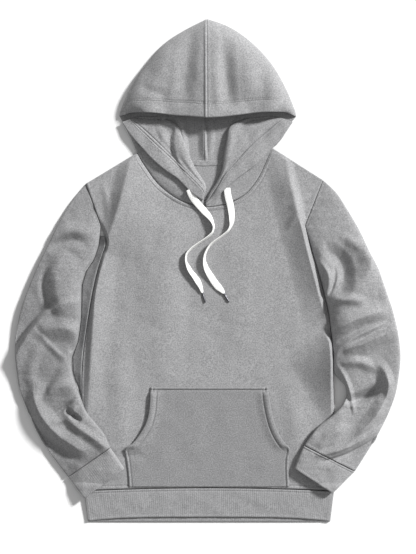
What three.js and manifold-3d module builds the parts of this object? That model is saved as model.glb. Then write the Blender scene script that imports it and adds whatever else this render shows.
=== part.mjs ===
// A pullover hoodie laid flat on its back, front up, with the hood spread open above the neck.
// Millimetres. +X runs to the viewer's right, +Y from the hem to the hood, +Z up from the surface.
// Left and right in the names are the viewer's. The origin is under the middle of the garment.
import * as THREE from "three";
import Module from "manifold-3d";
import { mergeVertices } from "three/addons/utils/BufferGeometryUtils.js";

const wasm = await Module();
wasm.setup();

// Driving dimensions
const CLOTH = 2.4; // fleece, one layer
const BAND = 3; // hem band and cuffs, sewn double
const SEAM = 0.4; // between two pieces that are sewn together
const LAID = 0.4; // between a piece and the one that it lies on
const FRONT_BASE = CLOTH + SEAM; // underside of the front panel at its seams
const PILLOW = 3; // how far the front panel rises inside its seams
const PILLOW_WIDTH = 70;
const FOLD_EDGE = 25; // a fold of the front panel dies out this close to a seam
const REACH = 42; // a sleeve starts to climb this far outside the body's edge
const CLEAR = 1.6; // air between a sleeve and the body that it lies over
const CRESCENT_RISE = 0.6; // the hood's outer face, from the neck seam to the gap under its edge
const CORD_WIDTH = 12;
const CORD_THICK = 2.2;
const CORD_STEPS = 28;
const AGLET_RADIUS = 2;
const AGLET_LENGTH = 20;
const HEM_SEAM_Y = -420;
const HEM_EDGE_Y = -480;
const HEM_HEIGHT = 9;
const HEM_CORNER_DROP = 2; // the hem band's height is this much less at its two ends
const HEM_SEAM_ENDS = [-240.5, 244.5];
const HEM_EDGE_ENDS = [-233, 237];
const BODY_HEM_POINTS = 12;

const columns = (names, rows) =>
  rows.map((row) => Object.fromEntries(names.map((name, i) => [name, row[i]])));

// The body's sides, from the underarm down to the hem seam
const BODY_SIDES = columns(
  ["y", "left", "right"],
  [
    [90, -209, 189],
    [58, -199, 198],
    [30, -207, 206],
    [0, -216, 215],
    [-40, -225, 226],
    [-80, -232, 235],
    [-120, -238, 240],
    [-160, -243, 244],
    [-211, -246, 245],
    [-283, -245, 246],
    [-347, -243, 246],
    [-426, -240, 244],
  ],
);
const SHOULDER_TIPS = { left: [-238, 172], right: [224, 179] };
const FRONT_NECK = columns(
  ["x", "y"],
  [
    [-138, 232],
    [-121, 203],
    [-94, 168],
    [-55, 140],
    [-9, 127],
    [35, 132],
    [70, 149],
    [96, 179],
    [113, 214],
    [125, 242],
  ],
);

// The pocket's sides, from its top edge down to the hem seam
const POCKET_SIDES = columns(
  ["y", "left", "right"],
  [
    [-224, -112, 117],
    [-250, -113, 120],
    [-272, -115, 124],
    [-292, -120, 129],
    [-306, -127, 134],
    [-320, -136, 141],
    [-333, -147, 150],
    [-345, -162, 160],
    [-366, -159, 157],
    [-392, -156, 157],
    [-418, -154, 158],
  ],
);

// A sleeve's rings, from the armhole to the cuff seam: its outer and inner outline, its height, and
// whether it lies beside the body, 0, or over it, 1
const SLEEVE_COLUMNS = ["outerX", "outerY", "innerX", "innerY", "height", "over"];
const LEFT_SLEEVE = columns(SLEEVE_COLUMNS, [
  [-238, 172, -209, 90, 5.8, 0],
  [-267, 135, -211, 72, 13, 0],
  [-292, 92, -214, 50, 21, 0],
  [-314, 47, -223, 24, 25, 0],
  [-332, 10, -238, 2, 27, 0],
  [-349, -31, -246, -25, 29, 0],
  [-363, -70, -247, -58, 30, 0],
  [-372, -113, -248, -94, 30, 0],
  [-376, -152, -254, -135, 29, 0],
  [-373, -187, -265, -166, 28, 0],
  [-368, -222, -264, -195, 27, 0],
  [-358, -252, -256, -221, 27, 0.4],
  [-345, -281, -246, -248, 27, 1],
  [-330, -312, -236, -272, 25, 1],
  [-314, -341, -218, -294, 23, 1],
  [-298, -365, -201, -316, 21, 1],
  [-272, -399, -190, -341, 18, 1],
]);
const RIGHT_SLEEVE = columns(SLEEVE_COLUMNS, [
  [224, 179, 189, 90, 5.8, 0],
  [250, 154, 196, 76, 13, 0],
  [275, 115, 207, 52, 21, 0],
  [296, 78, 217, 23, 25, 0],
  [314, 39, 226, -4, 27, 0],
  [332, 4, 235, -31, 29, 0],
  [347, -39, 243, -60, 30, 0],
  [360, -78, 248, -90, 30, 0],
  [370, -123, 252, -123, 29, 0],
  [374, -162, 255, -156, 28, 0],
  [371, -201, 260, -191, 27, 0],
  [365, -236, 268, -224, 27, 0.2],
  [355, -265, 266, -250, 27, 0.7],
  [343, -292, 245, -276, 25, 1],
  [326, -324, 215, -300, 23, 1],
  [308, -353, 197, -322, 21, 1],
  [286, -388, 187, -337, 18, 1],
]);
const LEFT_CUFF = columns(SLEEVE_COLUMNS, [
  [-272, -399, -190, -341, 18, 1],
  [-255, -421, -175, -362, 17, 1],
  [-240, -440, -162, -382, 16, 1],
]);
const RIGHT_CUFF = columns(SLEEVE_COLUMNS, [
  [286, -388, 187, -337, 18, 1],
  [263, -410, 176, -360, 17, 1],
  [242, -430, 168, -382, 16, 1],
]);

// The largest folds: each runs through three points, with its half width and its height or depth
const FOLD_COLUMNS = ["x1", "y1", "x2", "y2", "x3", "y3", "width", "height"];
const LEFT_SLEEVE_FOLDS = columns(FOLD_COLUMNS, [
  [-232, 46, -262, 42, -296, 43, 15, -7],
  [-292, 16, -316, -21, -281, -74, 15, -8],
  [-255, -70, -312, -92, -364, -156, 14, 8],
  [-292, -112, -275, -135, -254, -152, 15, -7],
  [-343, -212, -330, -285, -246, -351, 13, -7],
  [-333, -225, -316, -275, -250, -336, 12, 6],
  [-262, -236, -272, -252, -290, -268, 12, -6],
  [-272, -286, -229, -320, -192, -340, 12, 5],
]);
const RIGHT_SLEEVE_FOLDS = columns(FOLD_COLUMNS, [
  [214, 22, 250, 14, 292, 10, 20, -8],
  [302, 25, 272, -21, 250, -42, 14, 7],
  [238, -84, 280, -100, 322, -100, 18, -8],
  [360, -100, 328, -135, 284, -170, 14, 7],
  [314, -186, 327, -245, 274, -316, 14, 6],
  [286, -228, 300, -244, 318, -257, 14, -7],
  [334, -302, 273, -341, 212, -352, 13, -6],
]);
const BODY_FOLDS = columns(FOLD_COLUMNS, [
  [-125, 200, -160, 120, -172, 20, 34, 6],
  [-160, 215, -186, 140, -205, 80, 13, -3],
  [150, 210, 188, 100, 216, -30, 34, 9],
]);
const CROWN_FOLDS = columns(FOLD_COLUMNS, [
  [44, 436, 46, 384, 50, 330, 18, -5],
  [-26, 452, -27, 410, -30, 360, 18, -4],
]);

// The hood's crown, in sections from its corner to the centre seam: the rim of the opening, the
// outline where the cloth turns under, the back neck, the rim's height and the crown's swell
const CROWN_COLUMNS = ["rimX", "rimY", "outX", "outY", "neckX", "neckY", "rim", "swell"];
const LEFT_CROWN = columns(CROWN_COLUMNS, [
  [-161, 307, -172, 303, -135, 235, 8.5, 0],
  [-148, 310, -167, 320, -115, 225, 10, 1],
  [-121, 309, -150, 359, -94, 220, 14, 5],
  [-94, 307, -126, 396, -72, 216, 18, 8],
  [-62, 303, -88, 441, -51, 214, 21, 11],
  [-33, 301, -47, 469, -29, 213, 23, 12],
  [-1, 298, -2, 492, -8, 212, 24, 13],
]);
const RIGHT_CROWN = columns(CROWN_COLUMNS, [
  [160, 308, 171, 302, 122, 243, 8.5, 0],
  [148, 311, 167, 318, 99, 232, 10, 1],
  [119, 310, 149, 360, 78, 224, 14, 5],
  [90, 308, 121, 407, 57, 218, 18, 8],
  [60, 304, 82, 448, 35, 214, 21, 11],
  [30, 300, 41, 476, 14, 213, 23, 12],
  [-1, 298, -2, 492, -8, 212, 24, 13],
]);

// The hood's turned front edge, in stations from the foot of the V to the corner: the neck seam,
// the free edge, the hem's stitching and the roll, then heights: the underside at the neck and at
// the roll, the top at the neck, the top of the free edge, the roll's crest; and the gap's depth
const FLAP_COLUMNS = [
  ...["neckX", "neckY", "edgeX", "edgeY", "stitchX", "stitchY", "rollX", "rollY"],
  ...["underNeck", "underRoll", "topNeck", "topEdge", "crest", "gap", "onNeck"],
];
const LEFT_FLAP = columns(FLAP_COLUMNS, [
  [-9, 126, -9, 140, -7, 151, -5, 158, 2.8, 2.8, 5.2, 9.5, 9, 6, 1],
  [-39, 133, -31, 154, -10, 163, -7, 172, 2.8, 2.8, 5.2, 12, 13, 12, 1],
  [-70, 149, -58, 181, -37, 191, -27, 203, 2.8, 2.8, 5.2, 12.5, 15, 14, 1],
  [-98, 172, -85, 200, -66, 220, -41, 234, 2.8, 2.8, 5.2, 12.5, 16, 14, 1],
  [-120, 201, -108, 220, -91, 244, -51, 261, 2.8, 2.8, 5.2, 12, 15, 12, 1],
  [-135, 224, -129, 243, -113, 265, -62, 285, 2.8, 1.4, 5.2, 10.5, 12, 8, 1],
  [-148, 259, -150, 267, -134, 284, -94, 300, 2.9, 1.2, 5.2, 9.5, 9, 3, 0],
  [-163, 291, -167, 292, -150, 298, -133, 303, 1.2, 1.2, 3.6, 6.6, 6, 2, 0],
]);
const RIGHT_FLAP = columns(FLAP_COLUMNS, [
  [-4, 126, -4, 130, -4, 132, -4, 135, 2.8, 2.8, 5.2, 8.6, 9, 1.5, 1],
  [12, 127, 9, 139, 7, 146, 4, 152, 2.8, 2.8, 5.2, 9.5, 11, 4, 1],
  [35, 133, 28, 157, 21, 166, 17, 172, 2.8, 2.8, 5.2, 12, 13, 12, 1],
  [62, 145, 49, 176, 35, 190, 28, 197, 2.8, 2.8, 5.2, 12.5, 15, 14, 1],
  [86, 165, 76, 197, 58, 216, 33, 228, 2.8, 2.8, 5.2, 12.5, 17, 14, 1],
  [105, 197, 101, 216, 81, 242, 38, 257, 2.8, 2.8, 5.2, 12, 17, 12, 1],
  [119, 230, 121, 239, 103, 262, 45, 283, 2.8, 1.2, 5.2, 10.5, 13, 8, 1],
  [142, 261, 146, 266, 130, 285, 78, 298, 2.9, 1.2, 5.2, 9.5, 9, 3, 0],
  [160, 291, 164, 292, 148, 298, 131, 303, 1.2, 1.2, 3.6, 6.6, 6, 2, 0],
]);

// The cords' centre lines, seen from above, from under the turned edge to the aglet
const CORD_ROUTES = {
  left: [
    [-36, 160], [-33, 152], [-28, 143], [-21, 134], [-14, 126], [-6, 117], [2, 108], [8, 98],
    [11, 88], [9, 78], [3, 71], [-6, 64], [-15, 58], [-25, 51], [-34, 44], [-41, 36],
    [-43, 27], [-42, 18], [-38, 9], [-33, 0], [-26, -9], [-20, -18], [-15, -28], [-11, -40],
  ],
  right: [
    [37, 163], [38, 153], [40, 143], [43, 132], [45, 121], [46, 110], [46, 99], [44, 89],
    [39, 80], [31, 73], [22, 66], [12, 59], [4, 52], [-2, 43], [-6, 33], [-7, 23],
    [-5, 12], [-1, 2], [5, -8], [12, -19], [19, -28], [26, -35], [31, -41],
  ],
};
const CORD_TIPS = { left: [-5, -60], right: [41, -59] };

const look = (color, roughness, metalness) =>
  new THREE.MeshStandardMaterial({ color, roughness, metalness, side: THREE.DoubleSide });
const CLOTH_LOOK = look(0x8b8b8b, 0.95, 0);
const CORD_LOOK = look(0xf4f4f2, 0.85, 0);
const AGLET_LOOK = look(0x55565a, 0.35, 1);

const lerp = THREE.MathUtils.lerp;
const smooth = (value, from, to) => THREE.MathUtils.smoothstep(value, from, to);
const at = (x, y, z = 0) => new THREE.Vector3(x, y, z);

// One value per column between two rows of a table, on a smooth curve through its rows
function between(rows, place) {
  const i = Math.min(Math.floor(place), rows.length - 2);
  const t = place - i;
  const clamped = (k) => rows[THREE.MathUtils.clamp(k, 0, rows.length - 1)];
  const near = [i - 1, i, i + 1, i + 2].map(clamped);
  const row = {};
  for (const name of Object.keys(rows[0])) {
    const [a, b, c, d] = near.map((r) => r[name]);
    const slopes = (c - a) * 0.5 * t + (2 * a - 5 * b + 4 * c - d) * 0.5 * t * t;
    row[name] = b + slopes + (-a + 3 * b - 3 * c + d) * 0.5 * t * t * t;
  }
  return row;
}

// A table's rows with each step between them divided
const refine = (rows, steps) =>
  Array.from({ length: (rows.length - 1) * steps + 1 }, (_, i) => between(rows, i / steps));

// The height of a list of folds at one place: a soft ridge or trough that fades at both ends
const FOLD_STEPS = 16;
function foldHeight(folds, x, y) {
  let height = 0;
  for (const f of folds) {
    let nearest = Infinity;
    let along = 0;
    for (let k = 0; k <= FOLD_STEPS; k++) {
      const t = k / FOLD_STEPS;
      const bend = 4 * t * (1 - t);
      const px = lerp(f.x1, f.x3, t) + (f.x2 - (f.x1 + f.x3) / 2) * bend;
      const py = lerp(f.y1, f.y3, t) + (f.y2 - (f.y1 + f.y3) / 2) * bend;
      const distance = Math.hypot(x - px, y - py);
      if (distance < nearest) {
        nearest = distance;
        along = t;
      }
    }
    if (nearest < f.width) {
      const side = Math.cos((Math.PI / 2) * (nearest / f.width)) ** 2;
      height += f.height * side * (1 - (2 * along - 1) ** 4);
    }
  }
  return height;
}

// A closed body between two grids of points; a tube's rows close on themselves
function bodyBetween(outer, inner, tube = false) {
  const rows = outer.length;
  const across = outer[0].length;
  const points = [...outer.flat(), ...inner.flat()];
  const out = (i, j) => i * across + (j % across);
  const inn = (i, j) => rows * across + out(i, j);
  const faces = [];
  const quad = (a, b, c, d) => faces.push(a, b, c, a, c, d);
  const last = tube ? across : across - 1;
  for (let i = 0; i < rows - 1; i++)
    for (let j = 0; j < last; j++) {
      quad(out(i, j), out(i, j + 1), out(i + 1, j + 1), out(i + 1, j));
      quad(inn(i, j), inn(i + 1, j), inn(i + 1, j + 1), inn(i, j + 1));
    }
  for (let j = 0; j < last; j++) {
    quad(out(0, j), inn(0, j), inn(0, j + 1), out(0, j + 1));
    quad(out(rows - 1, j), out(rows - 1, j + 1), inn(rows - 1, j + 1), inn(rows - 1, j));
  }
  if (!tube)
    for (let i = 0; i < rows - 1; i++) {
      quad(out(i, 0), out(i + 1, 0), inn(i + 1, 0), inn(i, 0));
      quad(out(i, last), inn(i, last), inn(i + 1, last), out(i + 1, last));
    }
  return facingOut(points, faces);
}

// The geometry of a closed body, with its faces turned to point outwards
function facingOut(points, faces) {
  let volume = 0;
  for (let i = 0; i < faces.length; i += 3) {
    const [a, b, c] = [points[faces[i]], points[faces[i + 1]], points[faces[i + 2]]];
    volume += a.dot(b.clone().cross(c));
  }
  const turned = volume < 0 ? [...faces].reverse() : faces;
  const geometry = new THREE.BufferGeometry().setFromPoints(points);
  geometry.setIndex(turned);
  return geometry;
}

// The body's outline, each side as a line of points from the hem seam to the shoulder
const SIDE_STEPS = 15;
const ARMHOLE_STEPS = 5;
const SHOULDER_STEPS = 5;
const NECK_STEPS = 16;
function bodySide(side) {
  const line = [];
  const depth = BODY_SIDES.length - 1;
  for (let i = 0; i <= SIDE_STEPS; i++) {
    const row = between(BODY_SIDES, depth * (1 - i / SIDE_STEPS));
    line.push(at(row[side], row.y));
  }
  const [tipX, tipY] = SHOULDER_TIPS[side];
  const under = line[line.length - 1];
  for (let i = 1; i <= ARMHOLE_STEPS; i++)
    line.push(under.clone().lerp(at(tipX, tipY), i / ARMHOLE_STEPS));
  return line;
}
const LEFT_EDGE = bodySide("left");
const RIGHT_EDGE = bodySide("right");
const NECK_CURVE = new THREE.CatmullRomCurve3(FRONT_NECK.map((p) => at(p.x, p.y)));
const NECK_EDGE = NECK_CURVE.getSpacedPoints(NECK_STEPS);
function shoulder(from, to) {
  return Array.from({ length: SHOULDER_STEPS }, (_, i) => from.clone().lerp(to, i / SHOULDER_STEPS));
}
const LEFT_TIP = LEFT_EDGE[LEFT_EDGE.length - 1];
const RIGHT_TIP = RIGHT_EDGE[RIGHT_EDGE.length - 1];
const TOP_EDGE = [
  ...shoulder(LEFT_TIP, NECK_EDGE[0]),
  ...NECK_EDGE,
  ...shoulder(RIGHT_TIP, NECK_EDGE[NECK_STEPS]).reverse(),
];
const hemSeamY = (x) => HEM_SEAM_Y - 6 * (x / 242) ** 2;

// How far a place lies inside the body's sides, shoulders and neck, and whether it is inside
const OUTLINE = [...LEFT_EDGE, ...TOP_EDGE.slice(1), ...[...RIGHT_EDGE].reverse().slice(1)];
function insideBody(x, y) {
  const p = at(x, y);
  let distance = Infinity;
  let inside = false;
  for (let i = 0; i < OUTLINE.length; i++) {
    const a = OUTLINE[i];
    const b = OUTLINE[(i + 1) % OUTLINE.length];
    if (i < OUTLINE.length - 1) {
      const near = new THREE.Line3(a, b).closestPointToPoint(p, true, at(0, 0));
      distance = Math.min(distance, near.distanceTo(p));
    }
    if (a.y > y !== b.y > y && x < a.x + ((y - a.y) / (b.y - a.y)) * (b.x - a.x)) inside = !inside;
  }
  return inside ? distance : -distance;
}
function frontUnder(x, y) {
  const depth = Math.max(insideBody(x, y), 0);
  const folds = foldHeight(BODY_FOLDS, x, y) * smooth(depth, 0, FOLD_EDGE);
  return FRONT_BASE + Math.max(PILLOW * smooth(depth, 0, PILLOW_WIDTH) + folds, 0);
}
const frontTop = (x, y) => frontUnder(x, y) + CLOTH;

// A flat patch filled in between its four edges
function patch(bottom, top, left, right) {
  const last = bottom.length - 1;
  const rows = left.length - 1;
  return left.map((_, j) => {
    const v = j / rows;
    return bottom.map((_, i) => {
      const u = i / last;
      const mix = (axis) => {
        const low = lerp(bottom[0][axis], bottom[last][axis], u);
        const high = lerp(top[0][axis], top[last][axis], u);
        const across = lerp(left[j][axis], right[j][axis], u);
        return lerp(bottom[i][axis], top[i][axis], v) + across - lerp(low, high, v);
      };
      return at(mix("x"), mix("y"));
    });
  });
}

// A panel that lies on another: its plan points lifted, then lifted again by its thickness
function laidPanel(plan, underside, thickness) {
  const under = plan.map((row) => row.map((p) => at(p.x, p.y, underside(p.x, p.y))));
  const top = under.map((row) => row.map((p) => at(p.x, p.y, p.z + thickness)));
  return bodyBetween(top, under);
}

function bodyFront() {
  const last = TOP_EDGE.length - 1;
  const bottom = TOP_EDGE.map((_, i) => {
    const x = lerp(LEFT_EDGE[0].x, RIGHT_EDGE[0].x, i / last);
    return at(x, hemSeamY(x));
  });
  const left = [bottom[0], ...LEFT_EDGE.slice(1)];
  const right = [bottom[last], ...RIGHT_EDGE.slice(1)];
  return laidPanel(patch(bottom, TOP_EDGE, left, right), frontUnder, CLOTH);
}

// The back: the same outline with its own higher neck, flat on the surface
function bodyBack() {
  const neck = [...crownSections(LEFT_CROWN), ...crownSections(RIGHT_CROWN).reverse()];
  const outline = [
    ...LEFT_EDGE,
    ...neck.map((row) => at(row.neckX, row.neckY - SEAM)),
    ...[...RIGHT_EDGE].reverse(),
  ];
  const last = BODY_HEM_POINTS;
  for (let i = 1; i < last; i++) {
    const x = lerp(RIGHT_EDGE[0].x, LEFT_EDGE[0].x, i / last);
    outline.push(at(x, hemSeamY(x)));
  }
  const shape = new THREE.Shape(outline.map((p) => new THREE.Vector2(p.x, p.y)));
  return new THREE.ExtrudeGeometry(shape, { depth: CLOTH, bevelEnabled: false });
}
function pocket() {
  const across = 12;
  const plan = POCKET_SIDES.map((row) =>
    Array.from({ length: across + 1 }, (_, i) => at(lerp(row.left, row.right, i / across), row.y)),
  );
  return laidPanel(plan, (x, y) => frontTop(x, y) + LAID, CLOTH);
}

// How high the underside of a sleeve lies: on the surface, or over the body and the hem band
function restHeight(x, y) {
  const level = Math.max(y, HEM_SEAM_Y + FOLD_EDGE);
  const depth = insideBody(x, level);
  const band = HEM_HEIGHT * smooth(-y, -HEM_SEAM_Y - FOLD_EDGE, -HEM_SEAM_Y);
  const over = Math.max(frontTop(x, level), band) + CLEAR;
  return depth > 0 ? over : over * smooth(depth, -REACH, 0);
}

// One ring of a sleeve or cuff: flat below, domed above, with round sides
const RING_POINTS = 18;
const RING_EDGE = 0.34; // the widest level, as a share of the height
const DOME_POWER = 0.75; // of the sine, over the widest level; a lower one is boxier
const FLAT_POWER = 0.3; // of the sine, under it
const ACROSS_POWER = 0.7; // of the cosine
function sleeveRing(row, folds, thickness, moved = 0) {
  const outer = at(row.outerX, row.outerY);
  const inner = at(row.innerX, row.innerY);
  const axis = outer.clone().sub(inner).normalize();
  const shift = at(axis.y, -axis.x).multiplyScalar(moved);
  const middle = outer.clone().add(inner).multiplyScalar(0.5).add(shift);
  const half = outer.distanceTo(inner) / 2;
  const edge = row.height * RING_EDGE;
  const flat = []; // across the ring and up
  for (let i = 0; i < RING_POINTS; i++) {
    const angle = ((i + 0.5) / RING_POINTS) * 2 * Math.PI;
    const power = Math.sin(angle) < 0 ? FLAT_POWER : DOME_POWER;
    const across = Math.sign(Math.cos(angle)) * Math.abs(Math.cos(angle)) ** ACROSS_POWER * half;
    const x = middle.x + axis.x * across;
    const y = middle.y + axis.y * across;
    const rise = Math.abs(Math.sin(angle)) ** power;
    const crown = Math.sin(angle) > 0 ? foldHeight(folds, x, y) * smooth(rise, 0.3, 0.8) : 0;
    const up = Math.sin(angle) > 0 ? edge + (row.height - edge) * rise : edge - edge * rise;
    flat.push({ across, z: up + crown + row.over * restHeight(x, y) });
  }
  const wallAt = (i, depth) => {
    const before = flat[(i + RING_POINTS - 1) % RING_POINTS];
    const after = flat[(i + 1) % RING_POINTS];
    const run = Math.hypot(after.across - before.across, after.z - before.z);
    const across = flat[i].across - (depth * (after.z - before.z)) / run;
    const z = flat[i].z + (depth * (after.across - before.across)) / run;
    return at(middle.x + axis.x * across, middle.y + axis.y * across, z);
  };
  return {
    outer: flat.map((_, i) => wallAt(i, 0)),
    inner: flat.map((_, i) => wallAt(i, thickness)),
  };
}

function sleeve(rows, folds, side) {
  const rings = refine(rows, 2).map((row, i, all) => {
    const moved = i === 0 ? side * SEAM : i === all.length - 1 ? -side * SEAM * 0.5 : 0;
    return sleeveRing(row, folds, CLOTH, moved);
  });
  return bodyBetween(rings.map((r) => r.outer), rings.map((r) => r.inner), true);
}

function cuff(rows, folds, side) {
  const rings = refine(rows, 2).map((row, i) => {
    const moved = i === 0 ? side * SEAM * 0.5 : 0;
    return sleeveRing(row, folds, BAND, moved);
  });
  return bodyBetween(rings.map((r) => r.outer), rings.map((r) => r.inner), true);
}

// The hem band: one flattened tube round the body, sewn double
function hemBand() {
  const across = 22;
  const margin = 0.008; // the flat walls stop this share of the width short of the round ends
  const ends = 0.16; // and sink towards them over this share
  const seamY = (x) => hemSeamY(x) - SEAM;
  const edgeY = (x) => HEM_EDGE_Y - 4 * (x / 236) ** 2;
  const topAt = (u) => HEM_HEIGHT - HEM_CORNER_DROP * (1 - smooth(Math.min(u, 1 - u), 0, ends));
  const rings = [0, 0.5, 1].map((v) => {
    const loop = (inset) => {
      const line = [];
      const put = (u, z, out) => {
        const left = lerp(HEM_SEAM_ENDS[0], HEM_EDGE_ENDS[0], v) + inset;
        const right = lerp(HEM_SEAM_ENDS[1], HEM_EDGE_ENDS[1], v) - inset;
        const x = lerp(left, right, u) + out;
        line.push(at(x, lerp(seamY(x), edgeY(x), v), z));
      };
      const round = topAt(0) / 2 - inset;
      const bend = { up: round * 0.6, out: round * 0.25 };
      for (let i = 0; i <= across; i++) put(lerp(margin, 1 - margin, i / across), inset, 0);
      put(1, topAt(1) / 2 - bend.up, -bend.out);
      put(1, topAt(1) / 2 + bend.up, -bend.out);
      for (let i = across; i >= 0; i--) {
        const u = lerp(margin, 1 - margin, i / across);
        put(u, topAt(u) - inset, 0);
      }
      put(0, topAt(0) / 2 + bend.up, bend.out);
      put(0, topAt(0) / 2 - bend.up, bend.out);
      return line;
    };
    return { outer: loop(0), inner: loop(BAND) };
  });
  return bodyBetween(rings.map((r) => r.outer), rings.map((r) => r.inner), true);
}

// The crown and back of one hood half: from the opening's rim over the crown, round the outline
// and under, flat on the surface, to the back neck
const CROWN_STEPS = 2;
const crownSections = (rows) => refine(rows, CROWN_STEPS);
function crownWall(rows, side) {
  const over = 12;
  const back = 8;
  const sections = crownSections(rows);
  const middle = sections.map((row, s) => {
    const line = [];
    for (let i = 0; i <= over; i++) {
      const angle = (i / over) * (Math.PI / 2);
      const share = Math.sin(angle);
      const x = lerp(row.rimX, row.outX, share);
      const y = lerp(row.rimY, row.outY, share);
      const swell = row.swell * Math.sin(2 * angle) + foldHeight(CROWN_FOLDS, x, y);
      line.push(at(x, y, CLOTH / 2 + (row.rim - CLOTH / 2) * Math.cos(angle) + swell));
    }
    for (let i = 1; i <= back; i++) {
      const t = i / back;
      line.push(at(lerp(row.outX, row.neckX, t), lerp(row.outY, row.neckY, t), CLOTH / 2));
    }
    if (s === sections.length - 1) line.forEach((p) => (p.x += side * SEAM * 0.5));
    return line;
  });
  const offset = (distance) =>
    middle.map((line, s) =>
      line.map((p, i) => {
        const ahead = line[Math.min(i + 1, line.length - 1)];
        const behind = line[Math.max(i - 1, 0)];
        const next = middle[Math.min(s + 1, middle.length - 1)][i];
        const before = middle[Math.max(s - 1, 0)][i];
        const normal = ahead.clone().sub(behind).cross(next.clone().sub(before));
        if (s === middle.length - 1) normal.x = 0;
        return p.clone().addScaledVector(normal.normalize(), distance);
      }),
    );
  return bodyBetween(offset(CLOTH / 2), offset(-CLOTH / 2));
}

// One station of the turned front edge, as a closed section: the cloth that rises from the neck
// seam, the gap under the free edge, the hem, and the roll over the hidden fold
function flapSection(row) {
  const neck = at(row.neckX, row.neckY);
  if (row.onNeck > 0.5) {
    let nearest = NECK_EDGE[0];
    for (let i = 0; i < NECK_STEPS; i++) {
      const piece = new THREE.Line3(NECK_EDGE[i], NECK_EDGE[i + 1]);
      const near = piece.closestPointToPoint(neck, true, at(0, 0));
      if (near.distanceTo(neck) < nearest.distanceTo(neck)) nearest = near;
    }
    neck.copy(nearest);
    neck.addScaledVector(at(row.rollX, row.rollY).sub(nearest).normalize(), 1.5 * SEAM);
  }
  const edge = at(row.edgeX, row.edgeY);
  const stitch = at(row.stitchX, row.stitchY);
  const roll = at(row.rollX, row.rollY);
  const put = (from, to, share, z) => {
    const p = from.clone().lerp(to, share);
    p.z = z;
    return p;
  };
  const gapEnd = Math.min(row.gap / edge.distanceTo(stitch), 0.8);
  const edgeUnder = row.topEdge - CLOTH - 0.6;
  const rise = row.topNeck + CRESCENT_RISE;
  const across = stitch.distanceTo(roll);
  return [
    put(neck, neck, 0, row.underNeck),
    put(neck, roll, 0.5, (row.underNeck + row.underRoll) / 2),
    put(roll, stitch, Math.min(3 / across, 0.2), row.underRoll),
    put(roll, roll, 0, row.underRoll + 2),
    put(roll, roll, 0, lerp(row.underRoll, row.crest, 0.62)),
    put(roll, stitch, Math.min(3.5 / across, 0.22), row.crest - 1),
    put(roll, stitch, Math.min(10 / across, 0.4), row.crest),
    put(roll, stitch, 0.68, lerp(row.crest, row.topEdge, 0.75) - 1),
    put(stitch, stitch, 0, row.topEdge + 0.2),
    put(stitch, edge, 0.5, row.topEdge + 0.4),
    put(stitch, edge, 0.94, row.topEdge),
    put(edge, edge, 0, row.topEdge - 0.9),
    put(edge, edge, 0, edgeUnder + 0.7),
    put(edge, stitch, 0.05, edgeUnder),
    put(edge, stitch, gapEnd, edgeUnder),
    put(edge, stitch, gapEnd, Math.min(rise, edgeUnder - 0.4)),
    put(neck, edge, 0.6, row.topNeck + CRESCENT_RISE / 2),
    put(neck, neck, 0, row.topNeck),
  ];
}

function flap(rows) {
  const rings = refine(rows, 3).map(flapSection);
  const count = rings[0].length;
  const points = rings.flat();
  const faces = [];
  for (let i = 0; i < rings.length - 1; i++)
    for (let j = 0; j < count; j++) {
      const a = i * count + j;
      const b = i * count + ((j + 1) % count);
      faces.push(a, b, b + count, a, b + count, a + count);
    }
  const flattened = (ring) =>
    ring.map((p) => new THREE.Vector2(Math.hypot(p.x - ring[0].x, p.y - ring[0].y), p.z));
  const cap = (ring, first, turned) => {
    for (const [a, b, c] of THREE.ShapeUtils.triangulateShape(flattened(ring), [])) {
      const corners = turned ? [a, c, b] : [a, b, c];
      faces.push(...corners.map((corner) => first + corner));
    }
  };
  const sideways = THREE.ShapeUtils.isClockWise(flattened(rings[0]));
  cap(rings[0], 0, !sideways);
  cap(rings[rings.length - 1], points.length - count, sideways);
  return facingOut(points, faces);
}

function solid(geometry) {
  const bare = geometry.clone();
  bare.deleteAttribute("normal");
  bare.deleteAttribute("uv");
  const merged = mergeVertices(bare, 1e-4);
  const vertProperties = new Float32Array(merged.attributes.position.array);
  const triVerts = new Uint32Array(merged.index.array);
  return new wasm.Manifold(new wasm.Mesh({ numProp: 3, vertProperties, triVerts }));
}

// One hood half is one cut panel: its crown and back, and its turned front edge
function hoodHalf(crownRows, flapRows, side) {
  const mesh = solid(crownWall(crownRows, side)).add(solid(flap(flapRows))).getMesh();
  const geometry = new THREE.BufferGeometry();
  geometry.setAttribute("position", new THREE.BufferAttribute(mesh.vertProperties, 3));
  geometry.setIndex(new THREE.BufferAttribute(mesh.triVerts, 1));
  return geometry;
}

// A flat drawcord, laid on the cloth under it
function cordHeight([x, y]) {
  const crescent = FRONT_BASE + CLOTH + CRESCENT_RISE;
  const under = Math.max(insideBody(x, y) > 0 ? frontTop(x, y) : 0, crescent);
  return under + LAID + CORD_THICK / 2;
}
function drawcord(route) {
  const path = new THREE.CatmullRomCurve3(route.map((p) => at(p[0], p[1], cordHeight(p))));
  const [w, t] = [CORD_WIDTH / 2, CORD_THICK / 2];
  const section = new THREE.Shape(
    [
      [t, w * 0.8], [t * 0.6, w], [-t * 0.6, w], [-t, w * 0.8],
      [-t, -w * 0.8], [-t * 0.6, -w], [t * 0.6, -w], [t, -w * 0.8],
    ].map(([a, b]) => new THREE.Vector2(a, b)),
  );
  return new THREE.ExtrudeGeometry(section, { steps: CORD_STEPS, extrudePath: path });
}

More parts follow.
